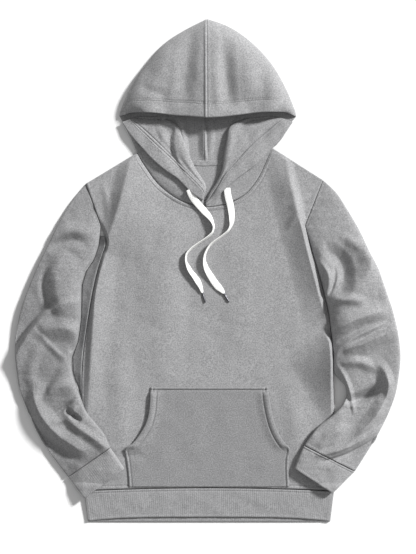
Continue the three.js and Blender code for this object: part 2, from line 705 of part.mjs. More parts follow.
// The metal tip on a cord's end: a slim tube with rounded ends
function aglet(route, tip) {
  const end = route[route.length - 1];
  const start = at(end[0], end[1], 0);
  const way = at(tip[0], tip[1], 0).sub(start).normalize();
  const r = AGLET_RADIUS;
  const l = AGLET_LENGTH;
  const profile = [
    [0, 0], [r * 0.8, 0], [r, r * 0.4], [r, l - r * 0.6], [r * 0.6, l], [0, l],
  ].map(([a, b]) => new THREE.Vector2(a, b));
  const geometry = new THREE.LatheGeometry(profile, 12);
  geometry.applyQuaternion(new THREE.Quaternion().setFromUnitVectors(at(0, 1, 0), way));
  const seat = start.clone().addScaledVector(way, SEAM);
  const middle = start.clone().addScaledVector(way, l / 2);
  geometry.translate(seat.x, seat.y, frontTop(middle.x, middle.y) + LAID + r);
  return geometry;
}

function piece(name, geometry, material) {
  const mesh = new THREE.Mesh(geometry, material);
  mesh.name = name;
  return mesh;
}

const hoodie = new THREE.Group();
hoodie.add(
  piece("body_back", bodyBack(), CLOTH_LOOK),
  piece("body_front", bodyFront(), CLOTH_LOOK),
  piece("pocket", pocket(), CLOTH_LOOK),
  piece("hem_band", hemBand(), CLOTH_LOOK),
  piece("sleeve_left", sleeve(LEFT_SLEEVE, LEFT_SLEEVE_FOLDS, -1), CLOTH_LOOK),
  piece("sleeve_right", sleeve(RIGHT_SLEEVE, RIGHT_SLEEVE_FOLDS, 1), CLOTH_LOOK),
  piece("cuff_left", cuff(LEFT_CUFF, LEFT_SLEEVE_FOLDS, -1), CLOTH_LOOK),
  piece("cuff_right", cuff(RIGHT_CUFF, RIGHT_SLEEVE_FOLDS, 1), CLOTH_LOOK),
  piece("hood_left", hoodHalf(LEFT_CROWN, LEFT_FLAP, -1), CLOTH_LOOK),
  piece("hood_right", hoodHalf(RIGHT_CROWN, RIGHT_FLAP, 1), CLOTH_LOOK),
);
for (const side of ["left", "right"]) {
  hoodie.add(
    piece("drawcord_" + side, drawcord(CORD_ROUTES[side]), CORD_LOOK),
    piece("aglet_" + side, aglet(CORD_ROUTES[side], CORD_TIPS[side]), AGLET_LOOK),
  );
}
const box = new THREE.Box3().setFromObject(hoodie);
const middle = box.getCenter(at(0, 0));
hoodie.position.set(-middle.x, -middle.y, -box.min.z);

export default hoodie;
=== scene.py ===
"""A pullover hoodie laid flat on its back, front up, with its hood spread open above the neck.

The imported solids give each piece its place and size. This script dresses them: cloth shells with
their folds, seams, topstitching and ribs, the flat drawcords with their metal tips, the floor, the
light and the camera. Tables and shapes are in millimetres, +X to the viewer's right, +Y from the hem
to the hood and +Z up from the floor; left and right in the names are the viewer's. A mesh is moved
into the row frame and turned to metres as it is made.
"""

import bpy
import numpy as np
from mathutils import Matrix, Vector
from mathutils.bvhtree import BVHTree


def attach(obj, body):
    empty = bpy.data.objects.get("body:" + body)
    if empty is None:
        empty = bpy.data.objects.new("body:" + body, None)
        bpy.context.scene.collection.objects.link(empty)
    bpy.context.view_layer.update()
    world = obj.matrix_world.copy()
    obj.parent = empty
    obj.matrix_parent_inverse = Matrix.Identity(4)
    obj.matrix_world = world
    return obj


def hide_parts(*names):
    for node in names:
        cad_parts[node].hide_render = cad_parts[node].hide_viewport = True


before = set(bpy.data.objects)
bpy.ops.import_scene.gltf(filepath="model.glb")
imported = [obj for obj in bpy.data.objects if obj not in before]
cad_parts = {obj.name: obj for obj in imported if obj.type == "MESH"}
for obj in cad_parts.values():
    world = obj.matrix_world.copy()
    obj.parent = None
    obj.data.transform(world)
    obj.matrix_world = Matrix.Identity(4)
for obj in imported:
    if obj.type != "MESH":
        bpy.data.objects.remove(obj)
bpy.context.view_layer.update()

# Sizes that the solids were made with, in millimetres
TABLE_TO_ROW = np.array([0.992, -4.111, 0.0])
CLOTH = 2.4  # one layer of fleece
BAND = 3.0  # hem band and cuffs, sewn double
SEAM = 0.4  # between two pieces that are sewn together
LAID = 0.4  # between a piece and the one that it lies on
FRONT_BASE = CLOTH + SEAM
PILLOW = 3.0  # how far the front rises over the cloth below it, away from its seams
PILLOW_WIDTH = 70.0
FOLD_EDGE = 25.0  # from the body's edge to where the solids' folds have their full height
REACH = 42.0  # from the body's edge to where a sleeve that climbs on it still lies on the floor
CLEAR = 1.6  # between a sleeve and the cloth that it climbs on
CORD_WIDTH = 12.0
CORD_THICK = 2.2
AGLET_LENGTH = 20.0
HEM_SEAM_Y = -420.0
HEM_EDGE_Y = -480.0
HEM_HEIGHT = 9.0
RING_EDGE = 0.34  # a sleeve's widest level as a share of its height

# Sizes of the finer form that only this dress has, in millimetres
FOLD_ROUND = 7.0  # from the body's edge to where the front's folds have their full height
CRESCENT_RISE = (5.0, -1.2)  # how far the hood's outer face climbs from the seam, left and right
CRESCENT_WIDTH = 26.0
AGLET_RADIUS = 1.6
SEAM_STITCH = 7.6  # from a seam of the front to its topstitching
POCKET_TOP_STITCH = 5.5
POCKET_OPENING_STITCH = 12.5
POCKET_SIDE_STITCH = 6.0
RIM_STITCHES = (26.0, 30.0)  # from the hood's rim to its hem's two rows of stitches
LEFT_TILT = 0.42  # how much lower a sleeve's top is on its outer side, as a share of its height
RIGHT_TILT = 0.0

# The body's sides from the underarm to the hem seam: y, left x, right x
BODY_SIDES = [
    (90, -209, 189), (58, -199, 198), (30, -207, 206), (0, -216, 215), (-40, -225, 226),
    (-80, -232, 235), (-120, -238, 240), (-160, -243, 244), (-211, -246, 245), (-283, -245, 246),
    (-347, -243, 246), (-426, -240, 244),
]
SHOULDER_TIPS = [(-238, 172), (224, 179)]
FRONT_NECK = [
    (-138, 232), (-121, 203), (-94, 168), (-55, 140), (-9, 127),
    (35, 132), (70, 149), (96, 179), (113, 214), (125, 242),
]

# The pocket's sides from its top edge to the hem seam: y, left x, right x
POCKET_SIDES = [
    (-224, -112, 117), (-250, -113, 120), (-272, -115, 124), (-292, -120, 129), (-306, -127, 134),
    (-320, -136, 141), (-333, -147, 150), (-345, -162, 160), (-366, -159, 157), (-392, -156, 157),
    (-418, -154, 158),
]

# A sleeve's rings from the armhole to the cuff: outer x and y, inner x and y, height, share over the body
LEFT_SLEEVE = [
    (-238, 172, -209, 90, 5.8, 0), (-267, 135, -211, 72, 13, 0), (-292, 92, -214, 50, 21, 0),
    (-314, 47, -223, 24, 25, 0), (-332, 10, -238, 2, 27, 0), (-349, -31, -246, -25, 29, 0),
    (-363, -70, -247, -58, 30, 0), (-372, -113, -248, -94, 30, 0), (-376, -152, -254, -135, 29, 0),
    (-373, -187, -265, -166, 28, 0), (-368, -222, -264, -195, 27, 0), (-358, -252, -256, -221, 27, 0.4),
    (-345, -281, -246, -248, 27, 1), (-330, -312, -236, -272, 25, 1), (-314, -341, -218, -294, 23, 1),
    (-298, -365, -201, -316, 21, 1), (-272, -399, -190, -341, 18, 1),
]
RIGHT_SLEEVE = [
    (224, 179, 189, 90, 5.8, 0), (250, 154, 196, 76, 13, 0), (275, 115, 207, 52, 21, 0),
    (296, 78, 217, 23, 25, 0), (314, 39, 226, -4, 27, 0), (332, 4, 235, -31, 29, 0),
    (347, -39, 243, -60, 30, 0), (360, -78, 248, -90, 30, 0), (370, -123, 252, -123, 29, 0),
    (374, -162, 255, -156, 28, 0), (371, -201, 260, -191, 27, 0), (365, -236, 268, -224, 27, 0.2),
    (355, -265, 266, -250, 27, 0.7), (343, -292, 245, -276, 25, 1), (326, -324, 215, -300, 23, 1),
    (308, -353, 197, -322, 21, 1), (286, -388, 187, -337, 18, 1),
]
LEFT_CUFF = [
    (-272, -399, -190, -341, 18, 1), (-255, -421, -175, -362, 17, 1), (-240, -440, -162, -382, 16, 1),
]
RIGHT_CUFF = [
    (286, -388, 187, -337, 18, 1), (263, -410, 176, -360, 17, 1), (242, -430, 168, -382, 16, 1),
]

# The hood's crown in sections from its corner to the centre seam: rim x and y, outline x and y,
# back neck x and y, the rim's height, the crown's swell
LEFT_CROWN = [
    (-161, 307, -172, 303, -135, 235, 8.5, 0), (-148, 310, -167, 320, -115, 225, 10, 1),
    (-121, 309, -150, 359, -94, 220, 14, 5), (-94, 307, -126, 396, -72, 216, 18, 8),
    (-62, 303, -88, 441, -51, 214, 21, 11), (-33, 301, -47, 469, -29, 213, 23, 12),
    (-1, 298, -2, 492, -8, 212, 24, 13),
]
RIGHT_CROWN = [
    (160, 308, 171, 302, 122, 243, 8.5, 0), (148, 311, 167, 318, 99, 232, 10, 1),
    (119, 310, 149, 360, 78, 224, 14, 5), (90, 308, 121, 407, 57, 218, 18, 8),
    (60, 304, 82, 448, 35, 214, 21, 11), (30, 300, 41, 476, 14, 213, 23, 12),
    (-1, 298, -2, 492, -8, 212, 24, 13),
]

# The hood's turned front edge in stations from the foot of the V to the corner: neck seam x and y,
# free edge x and y, hem stitching x and y, roll x and y, the underside's height at the roll, the top's
# height at the neck, at the free edge and at the roll's crest, and whether it starts on the neck seam
LEFT_FLAP = [
    (-9, 126, -9, 140, -7, 151, -5, 158, 2.8, 5.2, 9.5, 9, 1),
    (-39, 133, -31, 154, -10, 163, -7, 172, 2.8, 5.2, 12, 13, 1),
    (-70, 149, -58, 181, -37, 191, -27, 203, 2.8, 5.2, 12.5, 15, 1),
    (-98, 172, -85, 200, -66, 220, -41, 234, 2.8, 5.2, 12.5, 16, 1),
    (-120, 201, -108, 220, -91, 244, -51, 261, 2.8, 5.2, 12, 15, 1),
    (-135, 224, -129, 243, -113, 265, -62, 285, 1.4, 5.2, 10.5, 12, 1),
    (-148, 259, -150, 267, -134, 284, -94, 300, 1.2, 5.2, 9.5, 9, 0),
    (-163, 291, -167, 292, -150, 298, -133, 303, 1.2, 3.6, 6.6, 6, 0),
]
RIGHT_FLAP = [
    (-4, 126, -4, 130, -4, 132, -4, 135, 2.8, 5.2, 8.6, 9, 1),
    (12, 127, 9, 139, 7, 146, 4, 152, 2.8, 5.2, 9.5, 11, 1),
    (35, 133, 28, 157, 21, 166, 17, 172, 2.8, 5.2, 12, 13, 1),
    (62, 145, 49, 176, 35, 190, 28, 197, 2.8, 5.2, 12.5, 15, 1),
    (86, 165, 76, 197, 58, 216, 33, 228, 2.8, 5.2, 12.5, 17, 1),
    (105, 197, 101, 216, 81, 242, 38, 257, 2.8, 5.2, 12, 17, 1),
    (119, 230, 121, 239, 103, 262, 45, 283, 1.2, 5.2, 10.5, 13, 1),
    (142, 261, 146, 266, 130, 285, 78, 298, 1.2, 5.2, 9.5, 9, 0),
    (160, 291, 164, 292, 148, 298, 131, 303, 1.2, 3.6, 6.6, 6, 0),
]

# The cords' routes seen from above, from under the turned edge to the tip: x, y, how far the flat
# cord leans on its edge in degrees
CORD_ROUTES = {
    "left": [
        (-36, 160, 10), (-33, 152, 5), (-28, 143, 0), (-21, 134, 5), (-14, 126, 8), (-6, 117, 14),
        (2, 108, 34), (8, 98, 60), (11, 88, 74), (9, 78, 77), (3, 71, 74), (-6, 64, 74),
        (-15, 58, 74), (-25, 51, 72), (-34, 44, 74), (-41, 36, 76), (-43, 27, 76), (-42, 18, 72),
        (-38, 9, 50), (-33, 0, 44), (-26, -9, 34), (-20, -18, 26), (-15, -28, 26), (-11, -40, 30),
    ],
    "right": [
        (37, 163, 12), (38, 153, 8), (40, 143, 4), (43, 132, 6), (45, 121, 12), (46, 110, 26),
        (46, 99, 40), (44, 89, 66), (39, 80, 74), (31, 73, 76), (22, 66, 73), (12, 59, 73),
        (4, 52, 74), (-2, 43, 76), (-6, 33, 73), (-7, 23, 66), (-5, 12, 44), (-1, 2, 30),
        (5, -8, 16), (12, -19, 8), (19, -28, 4), (26, -35, 8), (31, -41, 20),
    ],
}
CORD_TIPS = {"left": (-5, -60), "right": (41, -59)}

# The front panel's largest folds in the solids, which the sleeves rest over
BODY_FORM = [
    (-125, 200, -160, 120, -172, 20, 34, 34, 6, 0),
    (-160, 215, -186, 140, -205, 80, 13, 13, -3, 0),
    (150, 210, 188, 100, 216, -30, 34, 34, 9, 0),
]

# Folds: three points on the fold's line, its widths to the left and right of the way along it, its
# height, and how crisp its crest is from 0 to 1
BODY_FOLDS = [
    (-70, 121, -78, -55, -90, -230, 50, 74, 5.5, 0),
    (-150, 238, -166, 156, -203, 39, 90, 23, 15, 1),
    (150, 238, 176, 109, 234, -113, 14, 44, 17, 1),
    (-113, 131, -117, 23, -133, -94, 60, 50, 1.8, 0),
    (33, 111, 62, -35, 55, -172, 70, 60, 2.0, 0),
    (-187, -94, -172, -230, -168, -347, 40, 34, 2.6, 0),
    (148, -195, 172, -308, 179, -406, 34, 30, 2.6, 0),
    (-191, -351, -156, -339, -125, -345, 9, 9, 1.8, 0.2),
    (-191, -370, -152, -357, -113, -363, 9, 9, -1.6, 0.2),
    (189, 131, 172, 109, 152, 82, 9, 12, 2.8, 0.3),
    (199, 152, 179, 136, 158, 121, 8, 10, 2.4, 0.3),
    (209, 168, 195, 160, 179, 150, 7, 8, 1.8, 0.3),
    (-207, 172, -197, 140, -199, 105, 9, 9, 2.2, 0.3),
    (-205, 117, -220, -55, -236, -308, 40, 14, 9, 0.6),
    (-129, -113, -144, -142, -176, -156, 20, 20, 1.4, 0),
    (222, -113, 263, -179, 312, -265, 10, 90, 40, 1),
]
LEFT_SLEEVE_FOLDS = [
    (-230, 51, -269, 60, -308, 37, 13, 18, -7, 0.2),
    (-226, 78, -265, 82, -308, 62, 20, 18, 4.5, 0),
    (-277, 43, -294, -27, -261, -98, 75, 30, 13, 0.3),
    (-292, 31, -320, -27, -289, -90, 10, 12, -3.5, 0.1),
    (-226, -60, -318, -86, -398, -218, 40, 12, 13, 0.8),
    (-277, -62, -332, -84, -382, -152, 9, 18, -7, 0.2),
    (-238, -133, -277, -109, -328, -117, 30, 24, 11, 0.5),
    (-339, -109, -308, -140, -273, -172, 7, 12, 4, 0.5),
    (-269, -156, -254, -144, -242, -129, 8, 8, -8, 0.3),
    (-339, -203, -316, -289, -226, -355, 26, 24, 14, 0.6),
    (-347, -211, -332, -312, -234, -367, 18, 15, -5, 0.2),
    (-320, -254, -289, -224, -246, -222, 20, 22, 8, 0.3),
    (-300, -277, -281, -263, -257, -242, 5, 7, -6, 0.9),
    (-308, -289, -277, -285, -254, -257, 10, 10, 5, 0.4),
    (-277, -267, -263, -277, -246, -291, 9, 9, -11, 0.2),
    (-277, -285, -230, -316, -183, -351, 14, 17, 8, 0.5),
    (-316, -133, -341, -176, -347, -218, 18, 18, 5, 0),
    (-285, -191, -308, -214, -328, -250, 12, 14, -5, 0.1),
    (-242, -187, -234, -234, -242, -277, 14, 12, 6, 0.1),
    (-214, 129, -242, 105, -273, 90, 14, 16, -3.4, 0.1),
]
RIGHT_SLEEVE_FOLDS = [
    (222, 43, 261, 12, 254, -51, 24, 24, -11, 0.2),
    (265, 55, 314, 8, 226, -82, 42, 34, 15, 0.5),
    (214, 20, 234, -12, 222, -55, 10, 10, 8, 0.4),
    (244, 12, 246, -16, 230, -51, 5, 6, -5, 0.5),
    (230, -66, 261, -53, 312, -62, 16, 14, 6, 0.3),
    (351, -74, 285, -92, 222, -129, 21, 26, 17, 0.6),
    (351, -98, 281, -129, 234, -174, 10, 10, 9, 0.9),
    (386, -96, 339, -121, 261, -154, 26, 12, 15, 0.8),
    (257, -183, 292, -174, 328, -191, 14, 16, 7, 0.3),
    (320, -168, 345, -242, 261, -343, 14, 20, 13, 0.8),
    (265, -250, 300, -246, 335, -222, 19, 11, -18, 0.3),
    (343, -292, 285, -333, 207, -357, 9, 11, 10.5, 0.8),
    (347, -304, 285, -347, 214, -369, 14, 5, -9.5, 0.4),
    (246, -176, 271, -220, 283, -281, 9, 5, 6, 0.7),
    (269, -296, 238, -314, 211, -343, 15, 14, 5, 0.1),
    (257, 78, 281, 58, 320, 51, 14, 16, 3.5, 0.1),
    (343, -8, 351, -55, 355, -98, 20, 20, 4, 0),
    (320, -203, 343, -234, 335, -277, 16, 14, -4, 0),
    (382, -90, 380, -156, 351, -250, 12, 48, 11, 0.5),
]
CROWN_FOLDS = [
    (33, 456, 35, 382, 43, 312, 24, 26, -9.5, 0.1),
    (74, 441, 82, 382, 90, 316, 26, 26, 3.6, 0),
    (-29, 491, -39, 410, -49, 320, 24, 26, -7.5, 0.1),
    (-70, 441, -98, 382, -105, 324, 28, 24, 3.8, 0),
    (121, 413, 129, 367, 117, 316, 22, 22, 3.4, 0),
    (16, 484, 20, 413, 20, 312, 9, 16, 3.4, 0.2),
    (-136, 367, -113, 351, -78, 343, 14, 16, -2.4, 0),
]
HOOD_FLOOR_FOLDS = [
    (-47, 328, -47, 246, -29, 168, 10, 20, 9, 0.5),
    (-6, 324, -6, 257, -2, 195, 4, 15, 7, 0.6),
    (-82, 316, -98, 269, -117, 238, 12, 14, 6, 0.3),
    (8, 320, 6, 257, -2, 203, 10, 10, 2.4, 0),
    (66, 316, 55, 269, 35, 218, 12, 12, 4, 0.2),
]
EDGE_FOLDS = [
    (-55, 304, -72, 246, -43, 187, 7, 20, -6.5, 0.3),
    (-94, 300, -90, 269, -66, 238, 10, 10, 3.0, 0.2),
    (86, 308, 58, 261, 43, 222, 12, 12, -3.0, 0.1),
    (125, 300, 105, 277, 78, 254, 10, 12, 2.4, 0.1),
]

# The camera looks straight down from far above, as the photograph does
VIEW_CENTRE = (0.99, -13.9)
VIEW_HEIGHT = 4000.0
VIEW_WIDTH = 811.2
IMAGE_SIZE = (416, 554)


# Numbers, lines and heights

def rows_at(table, places):
    """Each column of a table at real row numbers, on the Catmull-Rom curve through its rows."""
    table = np.asarray(table, float)
    places = np.asarray(places, float)
    first = np.clip(np.floor(places).astype(int), 0, len(table) - 2)
    t = (places - first)[..., None]
    a, b, c, d = (table[np.clip(first + step, 0, len(table) - 1)] for step in (-1, 0, 1, 2))
    slope = 0.5 * t * (c - a)
    bend = 0.5 * t**2 * (2 * a - 5 * b + 4 * c - d)
    return b + slope + bend + 0.5 * t**3 * (3 * b - a - 3 * c + d)


def smooth(value, low, high):
    """0 below low, 1 above high, and 3t^2 - 2t^3 between them."""
    t = np.clip((value - low) / (high - low), 0, 1)
    return t * t * (3 - 2 * t)


def lerp(a, b, t):
    return a + (b - a) * t


def hump(value, middle, reach):
    """1 at the middle and 0 from the reach outwards: (1 - (distance / reach)^2)^2."""
    return np.clip(1 - ((value - middle) / reach) ** 2, 0, 1) ** 2


def spaced(line, shares):
    """Points at these shares of a line's length."""
    steps = np.linalg.norm(np.diff(line, axis=0), axis=1)
    run = np.concatenate([[0], np.cumsum(steps)])
    places = np.asarray(shares) * run[-1]
    return np.stack([np.interp(places, run, line[:, k]) for k in range(line.shape[1])], axis=-1)


def crowded(length, coarse, fine, band, low=True, high=True):
    """Shares from 0 to 1 whose steps are fine within a band of either end and coarse between, in mm."""
    places = np.linspace(0, length, 4000)
    near = np.full_like(places, 1e9)
    if low:
        near = np.minimum(near, places)
    if high:
        near = np.minimum(near, length - places)
    step = lerp(fine, coarse, smooth(near, band, band * 2.5))
    count = np.concatenate([[0], np.cumsum(np.diff(places) / (0.5 * (step[1:] + step[:-1])))])
    return np.interp(np.linspace(0, count[-1], int(np.ceil(count[-1])) + 1), count, places) / length


def nearest_on(line, x, y):
    """Distance from each place to a line in plan, the share of the line's length there, and the side
    of the line that the place is on, positive on its left."""
    a, b = line[:-1, :2], line[1:, :2]
    run = np.concatenate([[0], np.cumsum(np.linalg.norm(b - a, axis=1))])
    best = np.full(x.shape, 1e18)
    share = np.zeros(x.shape)
    side = np.zeros(x.shape)
    for k in range(len(a)):
        way = b[k] - a[k]
        size = way @ way
        dx, dy = x - a[k, 0], y - a[k, 1]
        t = np.clip((dx * way[0] + dy * way[1]) / size, 0, 1)
        gap = (dx - t * way[0]) ** 2 + (dy - t * way[1]) ** 2
        closer = gap < best
        best = np.where(closer, gap, best)
        share = np.where(closer, (run[k] + t * np.sqrt(size)) / run[-1], share)
        side = np.where(closer, way[0] * dy - way[1] * dx, side)
    return np.sqrt(best), share, side


def fold_height(folds, x, y):
    """Sum of folds. Each runs on a bent line through three points, falls to nothing over its left and
    right widths, and fades at both ends as 1 - |2a - 1|^2.4. Its side profile mixes a round crest,
    (1 - t)^2 (1 + 2t), with a crisp one, (1 - t)^1.3."""
    height = np.zeros(x.shape)
    for x1, y1, x2, y2, x3, y3, left, right, rise, crisp in folds:
        t = np.linspace(0, 1, 21)
        bend = 4 * t * (1 - t)
        line = np.stack([
            lerp(x1, x3, t) + (x2 - (x1 + x3) / 2) * bend,
            lerp(y1, y3, t) + (y2 - (y1 + y3) / 2) * bend,
        ], axis=-1)
        reach = max(left, right)
        low, high = line.min(0) - reach, line.max(0) + reach
        near = (x > low[0]) & (x < high[0]) & (y > low[1]) & (y < high[1])
        if not near.any():
            continue
        gap, along, side = nearest_on(line, x[near], y[near])
        t = np.clip(gap / np.where(side > 0, left, right), 0, 1)
        profile = (1 - crisp) * (1 - t) ** 2 * (1 + 2 * t) + crisp * (1 - t) ** 1.3
        height[near] += rise * profile * (1 - np.abs(2 * along - 1) ** 2.4)
    return height


def ripple(x, y, size, seed):
    """Soft unevenness between about -1 and 1: the mean of sixteen sine waves of random direction and
    phase, with lengths near the given size."""
    draw = np.random.default_rng(seed)
    total = np.zeros(np.shape(x))
    for _ in range(16):
        angle, phase = draw.uniform(0, 2 * np.pi, 2)
        wave = 2 * np.pi / (size * draw.uniform(0.7, 1.5))
        total = total + np.sin(wave * (x * np.cos(angle) + y * np.sin(angle)) + phase)
    return total / 6


# The body's outline

def side_line(column, tip):
    """One side from the hem seam up to the underarm, and where the underarm is on it."""
    rows = rows_at(BODY_SIDES, np.linspace(len(BODY_SIDES) - 1, 0, 90))
    side = rows[:, [column, 0]]
    armhole = lerp(side[-1], np.array(tip, float), np.linspace(0, 1, 20)[1:, None])
    return np.concatenate([side, armhole])


LEFT_EDGE = side_line(1, SHOULDER_TIPS[0])
RIGHT_EDGE = side_line(2, SHOULDER_TIPS[1])
NECK_EDGE = rows_at(FRONT_NECK, np.linspace(0, len(FRONT_NECK) - 1, 100))
LEFT_SHOULDER = np.array([LEFT_EDGE[-1], NECK_EDGE[0]])
RIGHT_SHOULDER = np.array([NECK_EDGE[-1], RIGHT_EDGE[-1]])
TOP_EDGE = np.concatenate([LEFT_SHOULDER[:1], NECK_EDGE, RIGHT_SHOULDER[1:]])
OUTLINE = np.concatenate([LEFT_EDGE, TOP_EDGE[1:], RIGHT_EDGE[::-1][1:]])
ARMHOLES = [LEFT_EDGE[-20:], RIGHT_EDGE[-20:]]


def hem_seam_y(x):
    return HEM_SEAM_Y - 6 * (x / 242) ** 2


def inside_body(x, y):
    """Distance inside the body's sides, shoulders and neck, and negative outside them."""
    distance, _, _ = nearest_on(OUTLINE, x, y)
    inside = np.zeros(x.shape, bool)
    for a, b in zip(OUTLINE, np.roll(OUTLINE, -1, axis=0)):
        if a[1] != b[1]:
            crosses = (a[1] > y) != (b[1] > y)
            inside ^= crosses & (x < a[0] + (y - a[1]) / (b[1] - a[1]) * (b[0] - a[0]))
    return np.where(inside, distance, -distance)


def front_under(x, y, folds, fold_edge=FOLD_ROUND):
    """The front panel's underside: its base, the pillow inside its seams, and the folds."""
    depth = np.maximum(inside_body(x, y), 0)
    rise = PILLOW * smooth(depth, 0, PILLOW_WIDTH) + fold_height(folds, x, y) * smooth(depth, 0, fold_edge)
    return FRONT_BASE + np.maximum(rise, 0)


def rest_height(x, y):
    """How high a sleeve's underside lies: on the floor, or over the body and the hem band."""
    level = np.maximum(y, HEM_SEAM_Y + FOLD_EDGE)
    depth = inside_body(x, level)
    band = HEM_HEIGHT * smooth(-y, -HEM_SEAM_Y - FOLD_EDGE, -HEM_SEAM_Y)
    over = np.maximum(front_under(x, level, BODY_FORM, FOLD_EDGE) + CLOTH, band) + CLEAR
    return np.where(depth > 0, over, over * smooth(depth, -REACH, 0))


def crescent_top(x, y):
    """The top of the hood's outer face beside the neck seam: it climbs away from the seam."""
    outside = np.maximum(-inside_body(x, y), 0)
    rise = lerp(*CRESCENT_RISE, smooth(x, -30, 50))
    return FRONT_BASE + CLOTH + rise * smooth(outside, 2, CRESCENT_WIDTH)


# Meshes

def put_mesh(name, points, quads, uv, material):
    """A smooth mesh object from points in millimetres, quads and one UV pair for each quad's corner."""
    points = np.maximum(points, [-np.inf, -np.inf, 0])
    mesh = bpy.data.meshes.new(name)
    mesh.vertices.add(len(points))
    mesh.vertices.foreach_set("co", ((points + TABLE_TO_ROW) / 1000).astype(np.float32).ravel())
    mesh.loops.add(quads.size)
    mesh.loops.foreach_set("vertex_index", quads.astype(np.int32).ravel())
    mesh.polygons.add(len(quads))
    mesh.polygons.foreach_set("loop_start", np.arange(0, quads.size, quads.shape[1], dtype=np.int32))
    mesh.polygons.foreach_set("use_smooth", np.ones(len(quads), bool))
    mesh.uv_layers.new(name="cloth").data.foreach_set("uv", (uv / 1000).astype(np.float32).ravel())
    mesh.update(calc_edges=True)
    mesh.materials.append(material)
    piece = bpy.data.objects.new(name, mesh)
    bpy.context.scene.collection.objects.link(piece)
    return piece


def outward(points, quads):
    """The quads turned so that their volume, the sum of a . (b x c) over their triangles, is positive."""
    a, b, c, d = (points[quads[:, k]] for k in range(4))
    volume = np.einsum("ij,ij->", a, np.cross(b, c)) + np.einsum("ij,ij->", a, np.cross(c, d))
    return quads[:, ::-1] if volume < 0 else quads


def grid_quads(index):
    """The quads between the rows and columns of a grid of point numbers."""
    corners = [index[:-1, :-1], index[:-1, 1:], index[1:, 1:], index[1:, :-1]]
    return np.stack(corners, axis=-1).reshape(-1, 4)


def grid_uv(points, rows, columns):
    """Cloth lengths along a grid's middle row and middle column, for each corner of its quads."""
    u = np.concatenate([[0], np.cumsum(np.linalg.norm(np.diff(points[rows // 2], axis=0), axis=1))])
    v = np.concatenate([[0], np.cumsum(np.linalg.norm(np.diff(points[:, columns // 2], axis=0), axis=1))])
    u, v = np.meshgrid(u, v)
    corners = [(slice(None, -1), slice(None, -1)), (slice(None, -1), slice(1, None)),
               (slice(1, None), slice(1, None)), (slice(1, None), slice(None, -1))]
    return np.stack([np.stack([u[c], v[c]], axis=-1) for c in corners], axis=2).reshape(-1, 2)


def shell_parts(top, under, tube=False):
    """Points, quads and UVs of one closed cloth: a top grid and an under grid that share their outer
    rows and, unless the grid is a tube round its columns, their outer columns."""
    rows, columns = top.shape[:2]
    under_rows = under.shape[0]
    index_top = np.arange(rows * columns).reshape(rows, columns)
    index_under = np.arange(under_rows * columns).reshape(under_rows, columns) + rows * columns
    index_under[0], index_under[-1] = index_top[0], index_top[-1]
    if not tube:
        index_under[:, 0], index_under[:, -1] = index_top[:, 0], index_top[:, -1]
    points = np.concatenate([top.reshape(-1, 3), under.reshape(-1, 3)])
    parts = []
    for index, grid in ((index_top, top), (index_under[:, ::-1], under[:, ::-1])):
        if tube:
            index = np.concatenate([index, index[:, :1]], axis=1)
            grid = np.concatenate([grid, grid[:, :1]], axis=1)
        parts.append((grid_quads(index), grid_uv(grid, grid.shape[0], grid.shape[1])))
    quads = outward(points, np.concatenate([q for q, _ in parts]))
    uv = np.concatenate([t for _, t in parts])
    used, packed = np.unique(quads, return_inverse=True)
    return points[used], packed.reshape(quads.shape), uv


def join_parts(parts):
    """Several shells as one mesh's points, quads and UVs."""
    starts = np.cumsum([0] + [len(p) for p, _, _ in parts])
    return (
        np.concatenate([p for p, _, _ in parts]),
        np.concatenate([q + s for (_, q, _), s in zip(parts, starts)]),
        np.concatenate([t for _, _, t in parts]),
    )


def normals_of(grid, tube=False):
    """Unit normals of a grid: the cross product of its steps along columns and along rows."""
    if tube:
        around = np.roll(grid, -1, axis=1) - np.roll(grid, 1, axis=1)
    else:
        around = np.gradient(grid, axis=1)
    normal = np.cross(around, np.gradient(grid, axis=0))
    size = np.linalg.norm(normal, axis=-1, keepdims=True)
    return normal / np.maximum(size, 1e-9)


def rim_share(distance, reach):
    """A rounded edge: sqrt(1 - (1 - d / reach)^2) within the reach of the edge, 1 beyond it."""
    t = np.clip(distance / reach, 0, 1)
    return np.sqrt(np.clip(1 - (1 - t) ** 2, 0, 1))


def rim_distance(grid, tube=False):
    """How far each point of a grid is from its first and last rows and, on a panel, its outer columns."""
    along = np.cumsum(np.linalg.norm(np.diff(grid, axis=0, prepend=grid[:1]), axis=-1), axis=0)
    distance = np.minimum(along, along[-1:] - along)
    if not tube:
        across = np.cumsum(np.linalg.norm(np.diff(grid, axis=1, prepend=grid[:, :1]), axis=-1), axis=1)
        distance = np.minimum(distance, np.minimum(across, across[:, -1:] - across))
    return distance


def cloth_shell(middle, thickness):
    """A cloth of this thickness on both sides of its middle surface, with rounded edges."""
    normal = normals_of(middle)
    half = (thickness / 2 * rim_share(rim_distance(middle), 1.3))[..., None]
    return shell_parts(middle + normal * half, middle - normal * half)


def laid_shell(x, y, under, thickness):
    """A panel that lies on another: its underside as given, its top above it, edges rounded."""
    flat = np.stack([x, y, np.zeros_like(x)], axis=-1)
    share = rim_share(rim_distance(flat), 1.6)
    middle = under + thickness / 2
    top = np.stack([x, y, middle + thickness / 2 * share], axis=-1)
    bottom = np.stack([x, y, middle - thickness / 2 * share], axis=-1)
    return shell_parts(top, bottom)


def patch(bottom, top, left, right, u, v):
    """A flat patch between four edges: the two blends of opposite edges less the blend of corners."""
    u, v = u[None, :, None], v[:, None, None]
    rows = lerp(bottom[None], top[None], v)
    columns = lerp(left[:, None], right[:, None], u)
    corners = lerp(lerp(bottom[:1], bottom[-1:], u[0])[None], lerp(top[:1], top[-1:], u[0])[None], v)
    return rows + columns - corners


